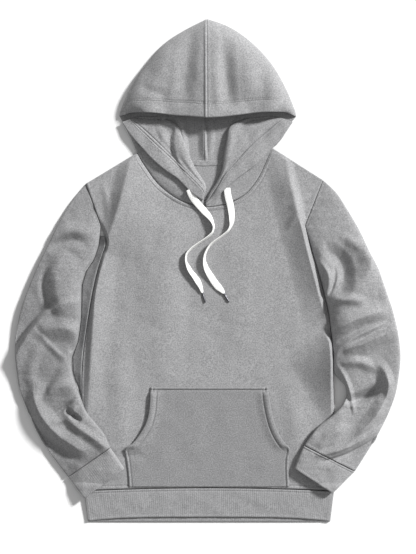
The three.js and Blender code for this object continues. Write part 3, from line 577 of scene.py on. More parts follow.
def capped_tube(grid):
    """A tube of rings whose ends are closed by strips of quads across the first and the last ring."""
    count = grid.shape[1]
    index = np.arange(grid.shape[0] * count).reshape(grid.shape[:2])
    sides = grid_quads(np.concatenate([index, index[:, :1]], axis=1))
    k = np.arange(count // 2 - 1)
    strip = np.stack([k, k + 1, count - k - 2, count - k - 1], axis=-1)
    points = grid.reshape(-1, 3)
    quads = outward(points, np.concatenate([sides, index[-1][strip], index[0][strip][:, ::-1]]))
    loop = np.concatenate([grid, grid[:, :1]], axis=1)
    uv = np.concatenate([grid_uv(loop, *loop.shape[:2]), np.zeros((8 * len(k), 2))])
    return points, quads, uv


def finished(piece, slot, *nodes):
    """The piece rides on the body and stands for its CAD nodes, which it hides. Its slot is not used."""
    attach(piece, "root")
    if nodes:
        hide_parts(*nodes)
    return piece


# Colours and materials

def linear(colour):
    """An sRGB hex colour as linear red, green, blue and 1."""
    values = np.array([int(colour[k:k + 2], 16) for k in (1, 3, 5)]) / 255
    low, high = values / 12.92, ((values + 0.055) / 1.055) ** 2.4
    return [*np.where(values <= 0.04045, low, high).tolist(), 1.0]


def add_node(tree, kind, links=(), **settings):
    """Adds one node. Settings are its own properties or, by name, its inputs' values. Each link is
    (input name or number, the output socket that feeds it)."""
    node = tree.nodes.new(kind)
    for name, value in settings.items():
        socket = name.replace("_", " ").title()
        if hasattr(node, name):
            setattr(node, name, value)
        else:
            node.inputs[socket].default_value = value
    for target, source in links:
        tree.links.new(node.inputs[target], source)
    return node


def new_material(name):
    material = bpy.data.materials.new(name)
    material.use_nodes = True
    tree = material.node_tree
    shader = tree.nodes["Principled BSDF"]
    return material, tree, shader


def ramp(tree, source, stops):
    """A colour ramp from (place, sRGB hex) stops."""
    node = add_node(tree, "ShaderNodeValToRGB", [("Fac", source)])
    elements = node.color_ramp.elements
    while len(elements) < len(stops):
        elements.new(0.5)
    for element, (place, colour) in zip(elements, stops):
        element.position = place
        element.color = linear(colour)
    return node


FLEECE_MARL = 2.2  # mm between the lighter and darker fibres, drawn coarser than the real 0.4 mm to show
FLEECE_PATCH = 14.0  # mm across the soft unevenness of the dye
FLEECE_KNIT = 1.1  # mm between the wales of the knitted face


def brushed_fleece(name, dark, mid, light):
    """Cotton and polyester fleece, knitted and brushed: no gloss, a soft halo at the edges from its nap,
    a heather of darker and lighter fibres, and a fine knitted grain."""
    material, tree, shader = new_material(name)
    place = add_node(tree, "ShaderNodeTexCoord").outputs["Object"]
    marl = add_node(tree, "ShaderNodeTexNoise", [("Vector", place)], scale=1000 / FLEECE_MARL,
                    detail=2.0, roughness=0.6)
    patch_noise = add_node(tree, "ShaderNodeTexNoise", [("Vector", place)], scale=1000 / FLEECE_PATCH,
                           detail=3.0, roughness=0.55)
    both = add_node(tree, "ShaderNodeMix", [(2, marl.outputs["Fac"]), (3, patch_noise.outputs["Fac"])],
                    data_type="FLOAT", factor=0.12)
    colour = ramp(tree, both.outputs[0], [(0.3, dark), (0.5, mid), (0.7, light)])
    grain = add_node(tree, "ShaderNodeTexNoise", [("Vector", place)], scale=1000 / FLEECE_KNIT,
                     detail=1.0, roughness=0.5)
    bump = add_node(tree, "ShaderNodeBump", [("Height", grain.outputs["Fac"])], strength=0.35,
                    distance=0.0006)
    tree.links.new(shader.inputs["Base Color"], colour.outputs["Color"])
    tree.links.new(shader.inputs["Normal"], bump.outputs["Normal"])
    shader.inputs["Roughness"].default_value = 0.95
    shader.inputs["Specular IOR Level"].default_value = 0.2
    shader.inputs["Sheen Weight"].default_value = 0.15
    shader.inputs["Sheen Roughness"].default_value = 0.5
    return material


RIB_PITCH = 2.0  # mm from one rib of the band to the next
RIB_DEPTH = 0.00025  # metres


def rib_knit(name, dark, mid, light):
    """Cotton and elastane rib knit: soft raised wales in rows along the garment, with painted shade
    that darkens the furrows a little, and the fleece's heather."""
    material, tree, shader = new_material(name)
    place = add_node(tree, "ShaderNodeTexCoord").outputs
    ribs = add_node(tree, "ShaderNodeTexWave", [("Vector", place["UV"])], wave_type="BANDS",
                    bands_direction="X", wave_profile="SIN", scale=1000 / RIB_PITCH / 20 * np.pi,
                    distortion=0.0)
    marl = add_node(tree, "ShaderNodeTexNoise", [("Vector", place["Object"])],
                    scale=1000 / FLEECE_MARL, detail=2.0, roughness=0.6)
    # Painted shade: the ribs darken the colour a little in their furrows
    both = add_node(tree, "ShaderNodeMix", [(2, marl.outputs["Fac"]), (3, ribs.outputs["Fac"])],
                    data_type="FLOAT", factor=0.06)
    colour = ramp(tree, both.outputs[0], [(0.28, dark), (0.5, mid), (0.75, light)])
    bump = add_node(tree, "ShaderNodeBump", [("Height", ribs.outputs["Fac"])], strength=0.6,
                    distance=RIB_DEPTH)
    tree.links.new(shader.inputs["Base Color"], colour.outputs["Color"])
    tree.links.new(shader.inputs["Normal"], bump.outputs["Normal"])
    shader.inputs["Roughness"].default_value = 0.92
    shader.inputs["Specular IOR Level"].default_value = 0.2
    shader.inputs["Sheen Weight"].default_value = 0.2
    shader.inputs["Sheen Roughness"].default_value = 0.5
    return material


BRAID_PITCH = 1.6  # mm from one plait of the flat cord to the next


def braided_cotton(name):
    """Bleached cotton, braided flat: near white, matt, fine slanting plaits that cross, painted shade
    between them.
    """
    material, tree, shader = new_material(name)
    place = add_node(tree, "ShaderNodeTexCoord").outputs["UV"]
    plaits = []
    for turn in (0.6, -0.6):
        turned = add_node(tree, "ShaderNodeMapping", [("Vector", place)], vector_type="POINT")
        turned.inputs["Rotation"].default_value = (0, 0, turn)
        plaits.append(add_node(tree, "ShaderNodeTexWave", [("Vector", turned.outputs[0])],
                               wave_type="BANDS", bands_direction="X", wave_profile="SIN",
                               scale=1000 / BRAID_PITCH / 20 * np.pi))
    both = [(number, plait.outputs["Fac"]) for number, plait in enumerate(plaits)]
    crossed = add_node(tree, "ShaderNodeMath", both, operation="MAXIMUM")
    # Painted shade: the grooves between the plaits are darker in colour
    colour = ramp(tree, crossed.outputs[0], [(0.35, "#dededb"), (0.9, "#f7f7f5")])
    bump = add_node(tree, "ShaderNodeBump", [("Height", crossed.outputs[0])], strength=0.5,
                    distance=0.0004)
    tree.links.new(shader.inputs["Base Color"], colour.outputs["Color"])
    tree.links.new(shader.inputs["Normal"], bump.outputs["Normal"])
    shader.inputs["Roughness"].default_value = 0.8
    shader.inputs["Specular IOR Level"].default_value = 0.3
    return material


def plated_metal(name):
    """Brass tube with a dark nickel plating, rolled on: grey, fairly glossy, faintly brushed round."""
    material, tree, shader = new_material(name)
    place = add_node(tree, "ShaderNodeTexCoord").outputs["Object"]
    wear = add_node(tree, "ShaderNodeTexNoise", [("Vector", place)], scale=900.0, detail=3.0)
    rough = add_node(tree, "ShaderNodeMapRange", [("Value", wear.outputs["Fac"])], to_min=0.28, to_max=0.5)
    tree.links.new(shader.inputs["Roughness"], rough.outputs["Result"])
    shader.inputs["Base Color"].default_value = linear("#6a6a6e")
    shader.inputs["Metallic"].default_value = 1.0
    return material


def spun_thread(name, colour):
    """Polyester sewing thread: smooth, a little shinier than the cloth it lies on."""
    material, tree, shader = new_material(name)
    place = add_node(tree, "ShaderNodeTexCoord").outputs["Object"]
    twist = add_node(tree, "ShaderNodeTexNoise", [("Vector", place)], scale=2500.0, detail=1.0)
    shade = ramp(tree, twist.outputs["Fac"], [(0.3, "#6f6f70"), (0.7, colour)])
    tree.links.new(shader.inputs["Base Color"], shade.outputs["Color"])
    shader.inputs["Roughness"].default_value = 0.6
    return material


FLEECE = brushed_fleece("brushed_grey_marl_fleece", "#7c7c7d", "#959596", "#aeaeaf")
# The same fleece in darker colours: painted shade on the pocket and the left sleeve
FLEECE_PAINTED_SHADE = brushed_fleece("brushed_grey_marl_fleece_painted_shade", "#717172", "#888889", "#9f9fa0")
RIB = rib_knit("grey_rib_knit", "#7b7b7c", "#929293", "#a9a9aa")
CORD = braided_cotton("braided_white_cotton")
METAL = plated_metal("dark_nickel_plate")
THREAD = spun_thread("grey_spun_thread", "#8d8d8e")


# Camera, which comes first with the cords

def camera():
    """Straight down on the laid garment from four metres, with the photograph's frame."""
    data = bpy.data.cameras.new("camera")
    data.type = "PERSP"
    data.sensor_fit = "VERTICAL"
    data.sensor_height = 36.0
    height = VIEW_WIDTH * IMAGE_SIZE[1] / IMAGE_SIZE[0]
    data.lens = data.sensor_height * VIEW_HEIGHT / height
    data.clip_end = 100.0
    eye = bpy.data.objects.new("camera", data)
    eye.location = (VIEW_CENTRE[0] / 1000, VIEW_CENTRE[1] / 1000, VIEW_HEIGHT / 1000)
    bpy.context.scene.collection.objects.link(eye)
    bpy.context.scene.camera = eye


camera()


# Drawcords

def cord_bed(x, y):
    """The top of the cloth that a cord lies on: the front panel or the hood's outer face."""
    body = front_under(x, y, BODY_FOLDS) + CLOTH
    return np.where(inside_body(x, y) > 0, body, crescent_top(x, y))


CORD_START_LIFT = 2.5  # mm that a cord stands off the cloth where it leaves the turned edge


def drawcord(side):
    """A flat braided tape carried along its route: an oval section, 12 mm by 2.2 mm, turned about the
    route by the lean, with its lower edge on the cloth."""
    route = np.array(CORD_ROUTES[side], float)
    steps = 260
    line = rows_at(route, np.linspace(0, len(route) - 1, steps))
    x, y, lean = line[:, 0], line[:, 1], np.radians(line[:, 2])
    taper = np.clip(np.arange(steps)[::-1] / 22, 0, 1) ** 0.7
    half = CORD_WIDTH / 2 * lerp(0.34, 1.15, taper) * (1 - 0.2 * np.abs(np.sin(lean)))
    flat = CORD_THICK / 2
    lift = np.abs(np.sin(lean)) * half + np.cos(lean) * flat
    z = cord_bed(x, y) + LAID + lift + CORD_START_LIFT * (1 - smooth(np.arange(steps), 8, 70))
    centre = np.stack([x, y, z], axis=-1)
    way = np.gradient(centre, axis=0)
    way /= np.linalg.norm(way, axis=1, keepdims=True)
    across = np.cross(way, [0, 0, 1.0])
    across /= np.linalg.norm(across, axis=1, keepdims=True)
    up = np.cross(across, way)
    turn = np.linspace(0, 2 * np.pi, 28, endpoint=False)
    wide = np.sign(np.cos(turn)) * np.abs(np.cos(turn)) ** 0.6
    thick = np.sign(np.sin(turn)) * np.abs(np.sin(turn)) ** 0.7
    wide_way = across * np.cos(lean)[:, None] + up * np.sin(lean)[:, None]
    thick_way = up * np.cos(lean)[:, None] - across * np.sin(lean)[:, None]
    rings = (
        centre[:, None]
        + wide_way[:, None] * (half[:, None] * wide)[..., None]
        + thick_way[:, None] * (flat * thick)[None, :, None]
    )
    first, last = rings[0].mean(0), rings[-1].mean(0)
    cap = np.array([0.75, 0.4, 0.02])[:, None, None]
    start = first + (rings[0] - first) * cap[::-1] - way[0] * (1 - cap[::-1] ** 2) * 0.8
    stop = last + (rings[-1] - last) * cap + way[-1] * (1 - cap**2) * 0.8
    grid = np.concatenate([start, rings, stop])
    points, quads, uv = capped_tube(grid)
    piece = put_mesh("cord_" + side, points, quads, uv, CORD)
    return piece, (centre + TABLE_TO_ROW) / 1000


def aglet(side):
    """The cord's metal tip: a slim tube turned about the cord's last direction, rolled in at both ends,
    with a crimped waist where it grips the cord."""
    end = np.array(CORD_ROUTES[side][-1][:2], float)
    tip = np.array(CORD_TIPS[side], float)
    way = (tip - end) / np.linalg.norm(tip - end)
    along = np.array([0, 0.05, 0.3, 0.8, 2.2, 2.8, 3.4, 4.2, 4.8, 5.4, 12, 17.5, 18.8, 19.6, 19.95, 20])
    radius = AGLET_RADIUS * np.array([
        0.35, 0.6, 0.85, 0.97, 1.0, 0.95, 0.86, 0.86, 0.95, 1.0, 1.0, 1.0, 0.92, 0.75, 0.45, 0.15,
    ])
    turn = np.linspace(0, 2 * np.pi, 24, endpoint=False)
    middle = end + way * AGLET_LENGTH / 2
    level = float(cord_bed(middle[:1], middle[1:])[0]) + LAID + AGLET_RADIUS
    start = np.array([*(end + way * SEAM), level])
    axis = np.array([*way, 0.0])
    across = np.array([-way[1], way[0], 0.0])
    ring = across * np.cos(turn)[:, None] + np.array([0, 0, 1.0]) * np.sin(turn)[:, None]
    grid = start + axis * along[:, None, None] + ring[None] * radius[:, None, None]
    return put_mesh("aglet_tip_" + side, *capped_tube(grid), METAL)


for side in ("left", "right"):
    tip = finished(aglet(side), "aglet", "aglet_" + side)
    cord, route_points = drawcord(side)
    finished(cord, "cord", "drawcord_" + side)


# Body

def seam_relief(distance, ridge=0.55, furrow=0.75, at=SEAM_STITCH):
    """A sewn seam: cloth pulled down at the seam, a padded ridge beside it, and the furrow that the
    topstitching pulls in at its distance from the seam."""
    dip = -0.7 * np.clip(1 - distance / 2.2, 0, 1) ** 2
    return dip + ridge * hump(distance, at * 0.5, at * 0.42) - furrow * hump(distance, at, 2.0)


def body_front():
    """The front panel: a patch between the hem seam, both sides and armholes, and the shoulders and
    neck, lifted by the pillow, the folds and the relief of its seams."""
    u = crowded(485, 3.1, 1.2, 9)
    v = crowded(640, 3.1, 1.1, 11)
    x = lerp(LEFT_EDGE[0, 0], RIGHT_EDGE[0, 0], u)
    bottom = np.stack([x, hem_seam_y(x)], axis=-1)
    left = np.concatenate([bottom[:1], spaced(LEFT_EDGE, v)[1:]])
    right = np.concatenate([bottom[-1:], spaced(RIGHT_EDGE, v)[1:]])
    plan = patch(bottom, spaced(TOP_EDGE, u), left, right, u, v)
    x, y = plan[..., 0], plan[..., 1]
    under = front_under(x, y, BODY_FOLDS)
    neck, _, _ = nearest_on(NECK_EDGE, x, y)
    hem = y - hem_seam_y(x)
    armhole = np.minimum(nearest_on(ARMHOLES[0], x, y)[0], nearest_on(ARMHOLES[1], x, y)[0])
    relief = seam_relief(neck) + seam_relief(hem, 0.5, 0.6) + seam_relief(armhole, 0.35, 0.0)
    inner = smooth(inside_body(x, y), 2, 30)
    relief = relief + inner * (0.5 * ripple(x, y, 75, 3) + 0.22 * ripple(x, y, 30, 4))
    return put_mesh("front_panel", *laid_shell(x, y, under + relief, CLOTH), FLEECE)


def back_neck():
    """The back's neck edge from the left shoulder to the right one, through the crown's neck points."""
    left = rows_at(LEFT_CROWN, np.linspace(0, len(LEFT_CROWN) - 1, 40))[:, 4:6]
    right = rows_at(RIGHT_CROWN, np.linspace(len(RIGHT_CROWN) - 1, 0, 40))[:, 4:6]
    return np.concatenate([left, right[1:]]) - [0, SEAM]


def body_back():
    """The back panel: the same sides with a higher neck, flat on the floor."""
    u = crowded(485, 6.5, 1.5, 4)
    v = crowded(640, 6.5, 1.5, 4)
    x = lerp(LEFT_EDGE[0, 0], RIGHT_EDGE[0, 0], u)
    bottom = np.stack([x, hem_seam_y(x)], axis=-1)
    top = np.concatenate([LEFT_EDGE[-1:], back_neck(), RIGHT_EDGE[-1:]])
    left = np.concatenate([bottom[:1], spaced(LEFT_EDGE, v)[1:]])
    right = np.concatenate([bottom[-1:], spaced(RIGHT_EDGE, v)[1:]])
    plan = patch(bottom, spaced(top, u), left, right, u, v)
    x, y = plan[..., 0], plan[..., 1]
    parts = [laid_shell(x, y, np.zeros_like(x), CLOTH), neck_tape()]
    return put_mesh("back_panel", *join_parts(parts), FLEECE)


def kangaroo_pocket():
    """The pocket lies on the front: straight top, hand openings that curve out below it, sewn sides.
    Its edges are turned in and topstitched, and the openings stand a little open."""
    v = crowded(194, 2.6, 1.1, 12)
    levels = -np.array(POCKET_SIDES, float)[:, 0]
    places = np.interp(lerp(levels[0], levels[-1], v), levels, np.arange(len(levels)))
    rows = rows_at(POCKET_SIDES, places)
    u = crowded(270, 2.6, 1.1, 16)
    x = lerp(rows[:, 1:2], rows[:, 2:3], u[None])
    y = np.repeat(rows[:, :1], len(u), axis=1)
    under = front_under(x, y, BODY_FOLDS) + CLOTH + LAID
    left = np.stack([rows[:, 1], rows[:, 0]], axis=-1)
    right = np.stack([rows[:, 2], rows[:, 0]], axis=-1)
    edge = np.minimum(nearest_on(left, x, y)[0], nearest_on(right, x, y)[0])
    top = POCKET_SIDES[0][0] - y
    opening = smooth(y, -352, -335) * (1 - smooth(y, -240, -226))
    gape = 4.5 * opening * (1 - smooth(edge, 0, 30))
    facing = 0.7 * hump(edge, 6, 5) - 1.3 * hump(edge, POCKET_OPENING_STITCH, 2.2)
    sewn = 0.6 * hump(edge, 3, 2.5) - 1.3 * hump(edge, POCKET_SIDE_STITCH, 1.8)
    sides = opening * facing + (1 - opening) * sewn
    relief = sides + 0.8 * hump(top, 2.5, 2.2) - 1.4 * hump(top, POCKET_TOP_STITCH, 1.8)
    inner = smooth(np.minimum(edge, top), 4, 30)
    relief = relief + inner * 0.45 * ripple(x, y, 60, 8)
    # The pocket takes the darker fleece: painted shade
    return put_mesh("kangaroo_pocket", *laid_shell(x, y, under + gape + relief, CLOTH), FLEECE_PAINTED_SHADE)


NECK_TAPE = (-74.0, 52.0)  # from x to x, the part of the back neck's tape that shows inside the hood
TAPE_WIDTH = 11.0
TAPE_THICK = 0.7


def neck_tape():
    """A soft tape sewn over the back neck seam inside the garment, thin at its edges."""
    line = back_neck()
    x = np.linspace(*NECK_TAPE, 80)
    middle = np.stack([x, np.interp(x, line[:, 0], line[:, 1])], axis=-1)
    across = np.linspace(-TAPE_WIDTH / 2, TAPE_WIDTH / 2, 19)
    plan_x = np.repeat(x[:, None], len(across), axis=1)
    plan_y = middle[:, 1:2] + across[None]
    share = rim_share(np.minimum(across - across[0], across[-1] - across), 4.0)[None]
    under = np.full_like(plan_x, CLOTH + 0.35)
    top = under + 0.05 + TAPE_THICK * share + 0.1 * ripple(plan_x, plan_y, 20, 51) * share
    top[[0, -1]], top[:, [0, -1]] = under[[0, -1]] + 0.05, under[:, [0, -1]] + 0.05
    return shell_parts(np.stack([plan_x, plan_y, top], axis=-1), np.stack([plan_x, plan_y, under], axis=-1))


# Sleeves, cuffs and hem

def ring_angles(count):
    """Angles of a ring's points that are evenly spaced round a middling section, 120 by 27 mm."""
    angle = np.linspace(0, 2 * np.pi, 4001)
    across, rise = ring_section(angle)
    line = np.stack([across * 60, np.where(np.sin(angle) > 0, rise * 18, -rise * 9)], axis=-1)
    run = np.concatenate([[0], np.cumsum(np.linalg.norm(np.diff(line, axis=0), axis=1))])
    return np.interp(np.linspace(0, run[-1], count, endpoint=False), run, angle)


def ring_section(angle):
    """Across a ring, cos^0.7, and up it, sin^0.75 over its widest level and sin^0.3 under it."""
    power = np.where(np.sin(angle) < 0, 0.3, 0.75)
    across = np.sign(np.cos(angle)) * np.abs(np.cos(angle)) ** 0.7
    return across, np.abs(np.sin(angle)) ** power


TUCK_AIR = 0.5  # mm left between a sleeve's slack underarm cloth and the body's edge
TUCK_MOST = 16.0
SLEEVE_SINK = 0.78  # share of the solids' height that the sleeves' tops have before their folds


def sleeve_surface(table, places, folds, around, tilt, tuck=0.0, moved=None):
    """A sleeve's outer wall: a ring at each place along its table, flat below, its top fuller towards
    the body and tilted, with its folds, laid on the floor or over the body. The tuck, 0 to 1, draws
    its low inner side out to the body's edge, as the slack cloth under the arm is."""
    rows = rows_at(table, places)
    outer, inner = rows[:, 0:2], rows[:, 2:4]
    axis = (outer - inner) / np.linalg.norm(outer - inner, axis=1, keepdims=True)
    half = np.linalg.norm(outer - inner, axis=1)[:, None] / 2
    middle = (outer + inner) / 2
    if moved is not None:
        middle = middle + np.stack([axis[:, 1], -axis[:, 0]], axis=-1) * moved[:, None]
    angle = ring_angles(around)
    across, rise = ring_section(angle)
    above = np.sin(angle) > 0
    on_floor = 1 - smooth(rows[:, 5:6], 0, 0.2)
    room = -inside_body(inner[:, 0], inner[:, 1]) - TUCK_AIR
    gap = np.clip(room, 0, TUCK_MOST)[:, None] * on_floor * tuck
    low = np.where(above, 1 - smooth(rise, 0, 0.95), 1) * smooth(-across, 0.3, 1)
    rise = np.where(above, rise ** np.where(across < 0, 0.45, 0.62), rise)
    lean = 1 - tilt * across * np.where(above, rise, 0)
    offset = across * half - gap * low
    x = middle[:, 0:1] + axis[:, 0:1] * offset
    y = middle[:, 1:2] + axis[:, 1:2] * offset
    crossing = np.maximum(inside_body(x, y) + TUCK_AIR, 0) * on_floor
    x, y = x + axis[:, 0:1] * crossing, y + axis[:, 1:2] * crossing
    height = rows[:, 4:5] * SLEEVE_SINK
    edge = height * RING_EDGE
    domed = np.where(above, edge + (height - edge) * rise, edge - edge * rise) * lean
    domed = domed * (1 - 0.25 * low * smooth(gap, 1, 8))
    shown = np.where(above, smooth(rise, 0.12, 0.65), 0)
    crown = fold_height(folds, x, y) + 0.6 * ripple(x, y, 38, 12) + 0.25 * ripple(x, y, 16, 13)
    lift = domed + crown * shown + rows[:, 5:6] * rest_height(x, y)
    return np.stack([x, y, lift], axis=-1)


def underarm_fold():
    """The slack cloth low in the gap between the left sleeve and the body. It climbs from the floor
    beside the sleeve to the body's side seam."""
    y = np.linspace(70, -243, 110)
    sleeve_side = np.interp(-y, *(-np.array(LEFT_SLEEVE)[:, 3], np.array(LEFT_SLEEVE)[:, 2]))
    body_side = np.interp(y, LEFT_EDGE[:90, 1], LEFT_EDGE[:90, 0])
    u = np.linspace(0, 1, 16)
    x = lerp(sleeve_side[:, None] + 0.8, body_side[:, None] - TUCK_AIR, u[None])
    y = np.repeat(y[:, None], len(u), axis=1)
    under = np.maximum(7.5 * u[None] ** 1.3 + 0.5 * ripple(x, y, 22, 14) * np.sin(np.pi * u[None]), 0)
    return laid_shell(x, y, under, CLOTH)


def tube_of_cloth(surface, thickness, keep_every):
    """A tube's closed cloth: the outer wall as given, the inner wall a thickness inside it, and rounded
    rims at its two mouths."""
    normal = normals_of(surface, tube=True)
    middle_height = surface[..., 2].mean(axis=1, keepdims=True)
    rising = (normal[..., 2] * np.sign(surface[..., 2] - middle_height)).mean()
    normal = normal if rising > 0 else -normal
    share = rim_share(rim_distance(surface, tube=True), 1.4)[..., None]
    outer = surface - normal * thickness / 2 * (1 - share)
    inner = surface - normal * thickness / 2 * (1 + share)
    rows = np.unique(np.append(np.arange(0, len(surface), keep_every), len(surface) - 1))
    return shell_parts(outer, inner[rows], tube=True)


def sleeve(name, table, folds, side, tilt, tuck, cloth, extra=()):
    """One sleeve: close rings near the armhole and the cuff, with the relief of both seams."""
    last = len(table) - 1
    v = crowded(640, 2.4, 1.1, 7)
    places = v * last
    moved = np.zeros(len(v))
    moved[0], moved[-1] = side * SEAM, -side * SEAM * 0.5
    surface = sleeve_surface(table, places, folds, 150, tilt, tuck, moved)
    along = np.cumsum(np.linalg.norm(np.diff(surface, axis=0, prepend=surface[:1]), axis=-1), axis=0)
    relief = seam_relief(along, 0.4, 0.45, 6.0) + seam_relief(along[-1:] - along, 0.4, 0.0)
    above = smooth(surface[..., 2], 3, 8)
    surface[..., 2] += relief * above
    return put_mesh(name, *join_parts([tube_of_cloth(surface, CLOTH, 3), *extra]), cloth)


def cuff(name, table, folds, side, tilt):
    """One cuff of doubled rib knit, drawn in a little at its seam, open at the hand."""
    v = crowded(60, 1.2, 0.8, 3)
    moved = np.zeros(len(v))
    moved[0] = side * SEAM * 0.5
    surface = sleeve_surface(table, v * (len(table) - 1), folds, 190, tilt, moved=moved)
    along = np.cumsum(np.linalg.norm(np.diff(surface, axis=0, prepend=surface[:1]), axis=-1), axis=0)
    above = smooth(surface[..., 2], 3, 8)
    relief = seam_relief(along, 0.5, 0.5, 5.0) + 0.4 * hump(along[-1:] - along, 3.0, 3.0)
    surface[..., 2] += relief * above
    return put_mesh(name, *tube_of_cloth(surface, BAND, 2), RIB)


def hem_band():
    """The hem: one flattened tube of doubled rib round the body. Its back layer hangs a little lower
    than its front, so it shows below the front edge."""
    around_top = crowded(484, 2.2, 1.0, 8)
    v = crowded(60, 1.5, 0.9, 6)
    turn = np.linspace(0, np.pi, 13)[1:-1]
    low_u, high_u = 0.008, 0.992
    u = np.concatenate([lerp(high_u, low_u, around_top), np.zeros(len(turn)),
                        lerp(low_u, high_u, around_top[::2]), np.ones(len(turn))])
    top_at = HEM_HEIGHT - 2 * (1 - smooth(np.minimum(u, 1 - u), 0, 0.16))
    upper = np.concatenate([np.ones(len(around_top)), np.cos(turn), -np.ones(len(around_top[::2])),
                            -np.cos(turn)])
    bulge = np.concatenate([np.zeros(len(around_top)), -np.sin(turn), np.zeros(len(around_top[::2])),
                            np.sin(turn)])
    v = v[:, None]
    left, right = lerp(-240.5, -233, v), lerp(244.5, 237, v)
    x = lerp(left, right, u) + 1.2 * bulge
    back = smooth(-upper, -0.4, 0.6)
    edge_y = HEM_EDGE_Y + 2.5 - 8.5 * (x / 236) ** 4 - back * 9.5 * (1 - (x / 240) ** 4)
    y = lerp(hem_seam_y(x) - SEAM, edge_y, v)
    swell = smooth(np.minimum(u, 1 - u), 0, 0.04)
    wave = swell * (0.5 * ripple(x, y, 46, 21) + 0.2 * ripple(x, y, 18, 22))
    seam = hem_seam_y(x) - y
    lip = 0.5 * hump(y - edge_y, 3, 3)
    relief = np.where(upper > 0.9, wave + seam_relief(seam, 0.4, 0.5, 6.0) + lip, 0)
    z = top_at / 2 * (1 + upper) * (1 - 0.28 * v**1.5) + relief
    surface = np.stack([x, y, np.maximum(z, 0)], axis=-1)
    return put_mesh("hem_rib_band", *tube_of_cloth(surface, BAND, 2), RIB)


# Hood

SEAM_RIDGE = 8.5  # mm that the crown stands higher at its centre seam than its swell
RIM_LIFT = 11.0  # mm that its rim arches up over the two hollows beside the corners


def crown(table, side):
    """The crown and back of one hood half, a middle surface of 2.4 mm cloth. Over the top it is a
    quarter dome from the rim to the outline, z = (rim + lift) cos a + swell sin 2a, with its folds, hem
    and seam times cos^0.5 a. Then it turns under and lies flat to the back neck."""
    last = len(table) - 1
    s = crowded(260, 2.5, 1.0, 8)
    rows = rows_at(table, s * last)[:, None, :]
    rim, out, neck = rows[..., 0:2], rows[..., 2:4], rows[..., 4:6]
    angle = np.pi / 2 * crowded(200, 2.1, 1.0, 34, high=False)
    share = np.sin(angle)[None, :, None]
    over = lerp(rim, out, share)
    x, y = over[..., 0], over[..., 1]
    height = CLOTH / 2 + (rows[..., 6] - CLOTH / 2) * np.cos(angle) + rows[..., 7] * np.sin(2 * angle)
    from_seam = np.abs(rim[..., 0])
    lift = SEAM_RIDGE * (1 - np.minimum(from_seam / 160, 1)) + RIM_LIFT * hump(from_seam, 122, 46)
    height = height + lift * np.cos(angle)
    reach = np.linalg.norm(out - rim, axis=-1)
    from_rim = share[..., 0] * reach
    dome = np.cos(angle) ** 0.5
    seam = np.abs(x - lerp(-1, -2, share[..., 0]))
    lip = 2.0 * hump(seam, 3.4, 3.0) if side < 0 else 0
    stitching = 0.8 * hump(from_rim, RIM_STITCHES[0], 1.8) + 0.7 * hump(from_rim, RIM_STITCHES[1], 1.6)
    hem = 3.4 * (1 - smooth(from_rim, 0, 27)) - stitching
    folds = fold_height(CROWN_FOLDS, x, y) + 0.7 * ripple(x, y, 60, 31) + 0.25 * ripple(x, y, 24, 32)
    groove = 2.0 * np.clip(1 - seam / 2.2, 0, 1) ** 2
    z = height + dome * (folds + lip + hem * smooth(reach, 30, 60) - groove)
    top = np.stack([x, y, z], axis=-1)
    t = crowded(230, 3.6, 2.0, 8)[1:][None, :, None]
    floor = lerp(out, neck, t)
    fx, fy = floor[..., 0], floor[..., 1]
    inner = smooth(t[..., 0], 0.12, 0.3) * (1 - smooth(t[..., 0], 0.93, 1.0))
    lift = np.maximum(fold_height(HOOD_FLOOR_FOLDS, fx, fy) + 0.4 * ripple(fx, fy, 40, 33), 0) * inner
    under = np.stack([fx, fy, CLOTH / 2 + lift], axis=-1)
    middle = np.concatenate([top, under], axis=1)
    middle[-1, :, 0] += side * SEAM * 0.5
    return cloth_shell(middle, CLOTH)


UNDER_RIM = 3.4  # mm above the floor of the turned edge's inner part where it passes under the rim
EDGE_FULLER = 2.5  # mm that its free edge stands higher than the solids', where it is high
CORNER_FULLER = 2.0  # mm that its free edge stands higher still at the hood's corner


def edge_sections(table, stations):
    """The turned front edge's middle line at each station: up from the neck seam as the hood's outer
    face, inwards to the roll, over its crest and back out to the free edge."""
    rows = rows_at(table, stations)
    neck, edge, stitch, roll = (rows[:, k:k + 2] for k in (0, 2, 4, 6))
    under_roll, top_neck, top_edge, crest, on_neck = rows[:, 8:].T
    drop = smooth(stations, len(table) - 2.7, len(table) - 1.6)
    top_edge = top_edge + EDGE_FULLER * smooth(top_edge, 9, 12) + CORNER_FULLER * drop
    crest = lerp(crest, UNDER_RIM, drop)
    nearest = spaced(NECK_EDGE, nearest_on(NECK_EDGE, neck[:, 0], neck[:, 1])[1])
    way = roll - nearest
    way /= np.linalg.norm(way, axis=1, keepdims=True)
    neck = np.where(on_neck[:, None] > 0.5, nearest + way * 1.5 * SEAM, neck)
    half = CLOTH / 2
    width = np.linalg.norm(stitch - roll, axis=1)
    near_roll = np.minimum(3.5 / width, 0.22)[:, None]
    low = lerp(neck, edge, 0.6)
    controls = [
        (neck, top_neck - half),
        (low, np.minimum(top_neck + crescent_top(*low.T) - FRONT_BASE - CLOTH, top_edge - 3) - half),
        (lerp(edge, stitch, 0.45), top_neck + (top_edge - top_neck) * 0.45 - half - 1.2),
        (lerp(stitch, roll, 0.35), lerp(top_neck, under_roll + CLOTH, 0.5) - half),
        (lerp(roll, stitch, near_roll * 1.4), under_roll + half + 0.4),
        (roll, lerp(under_roll, crest, 0.35)),
        (roll, lerp(under_roll, crest, 0.7) - 0.4),
        (lerp(roll, stitch, near_roll), crest - 1 - half),
        (lerp(roll, stitch, np.minimum(10 / width, 0.4)[:, None]), crest - half),
        (lerp(roll, stitch, 0.68), lerp(crest, top_edge, 0.75) - 1 - half),
        (stitch, top_edge + 0.2 - half),
        (lerp(stitch, edge, 0.5), top_edge + 0.4 - half),
        (lerp(stitch, edge, 0.94), top_edge - half),
        (edge, top_edge - 0.4 - half),
    ]
    return np.stack([np.concatenate([p, z[:, None]], axis=1) for p, z in controls], axis=1)


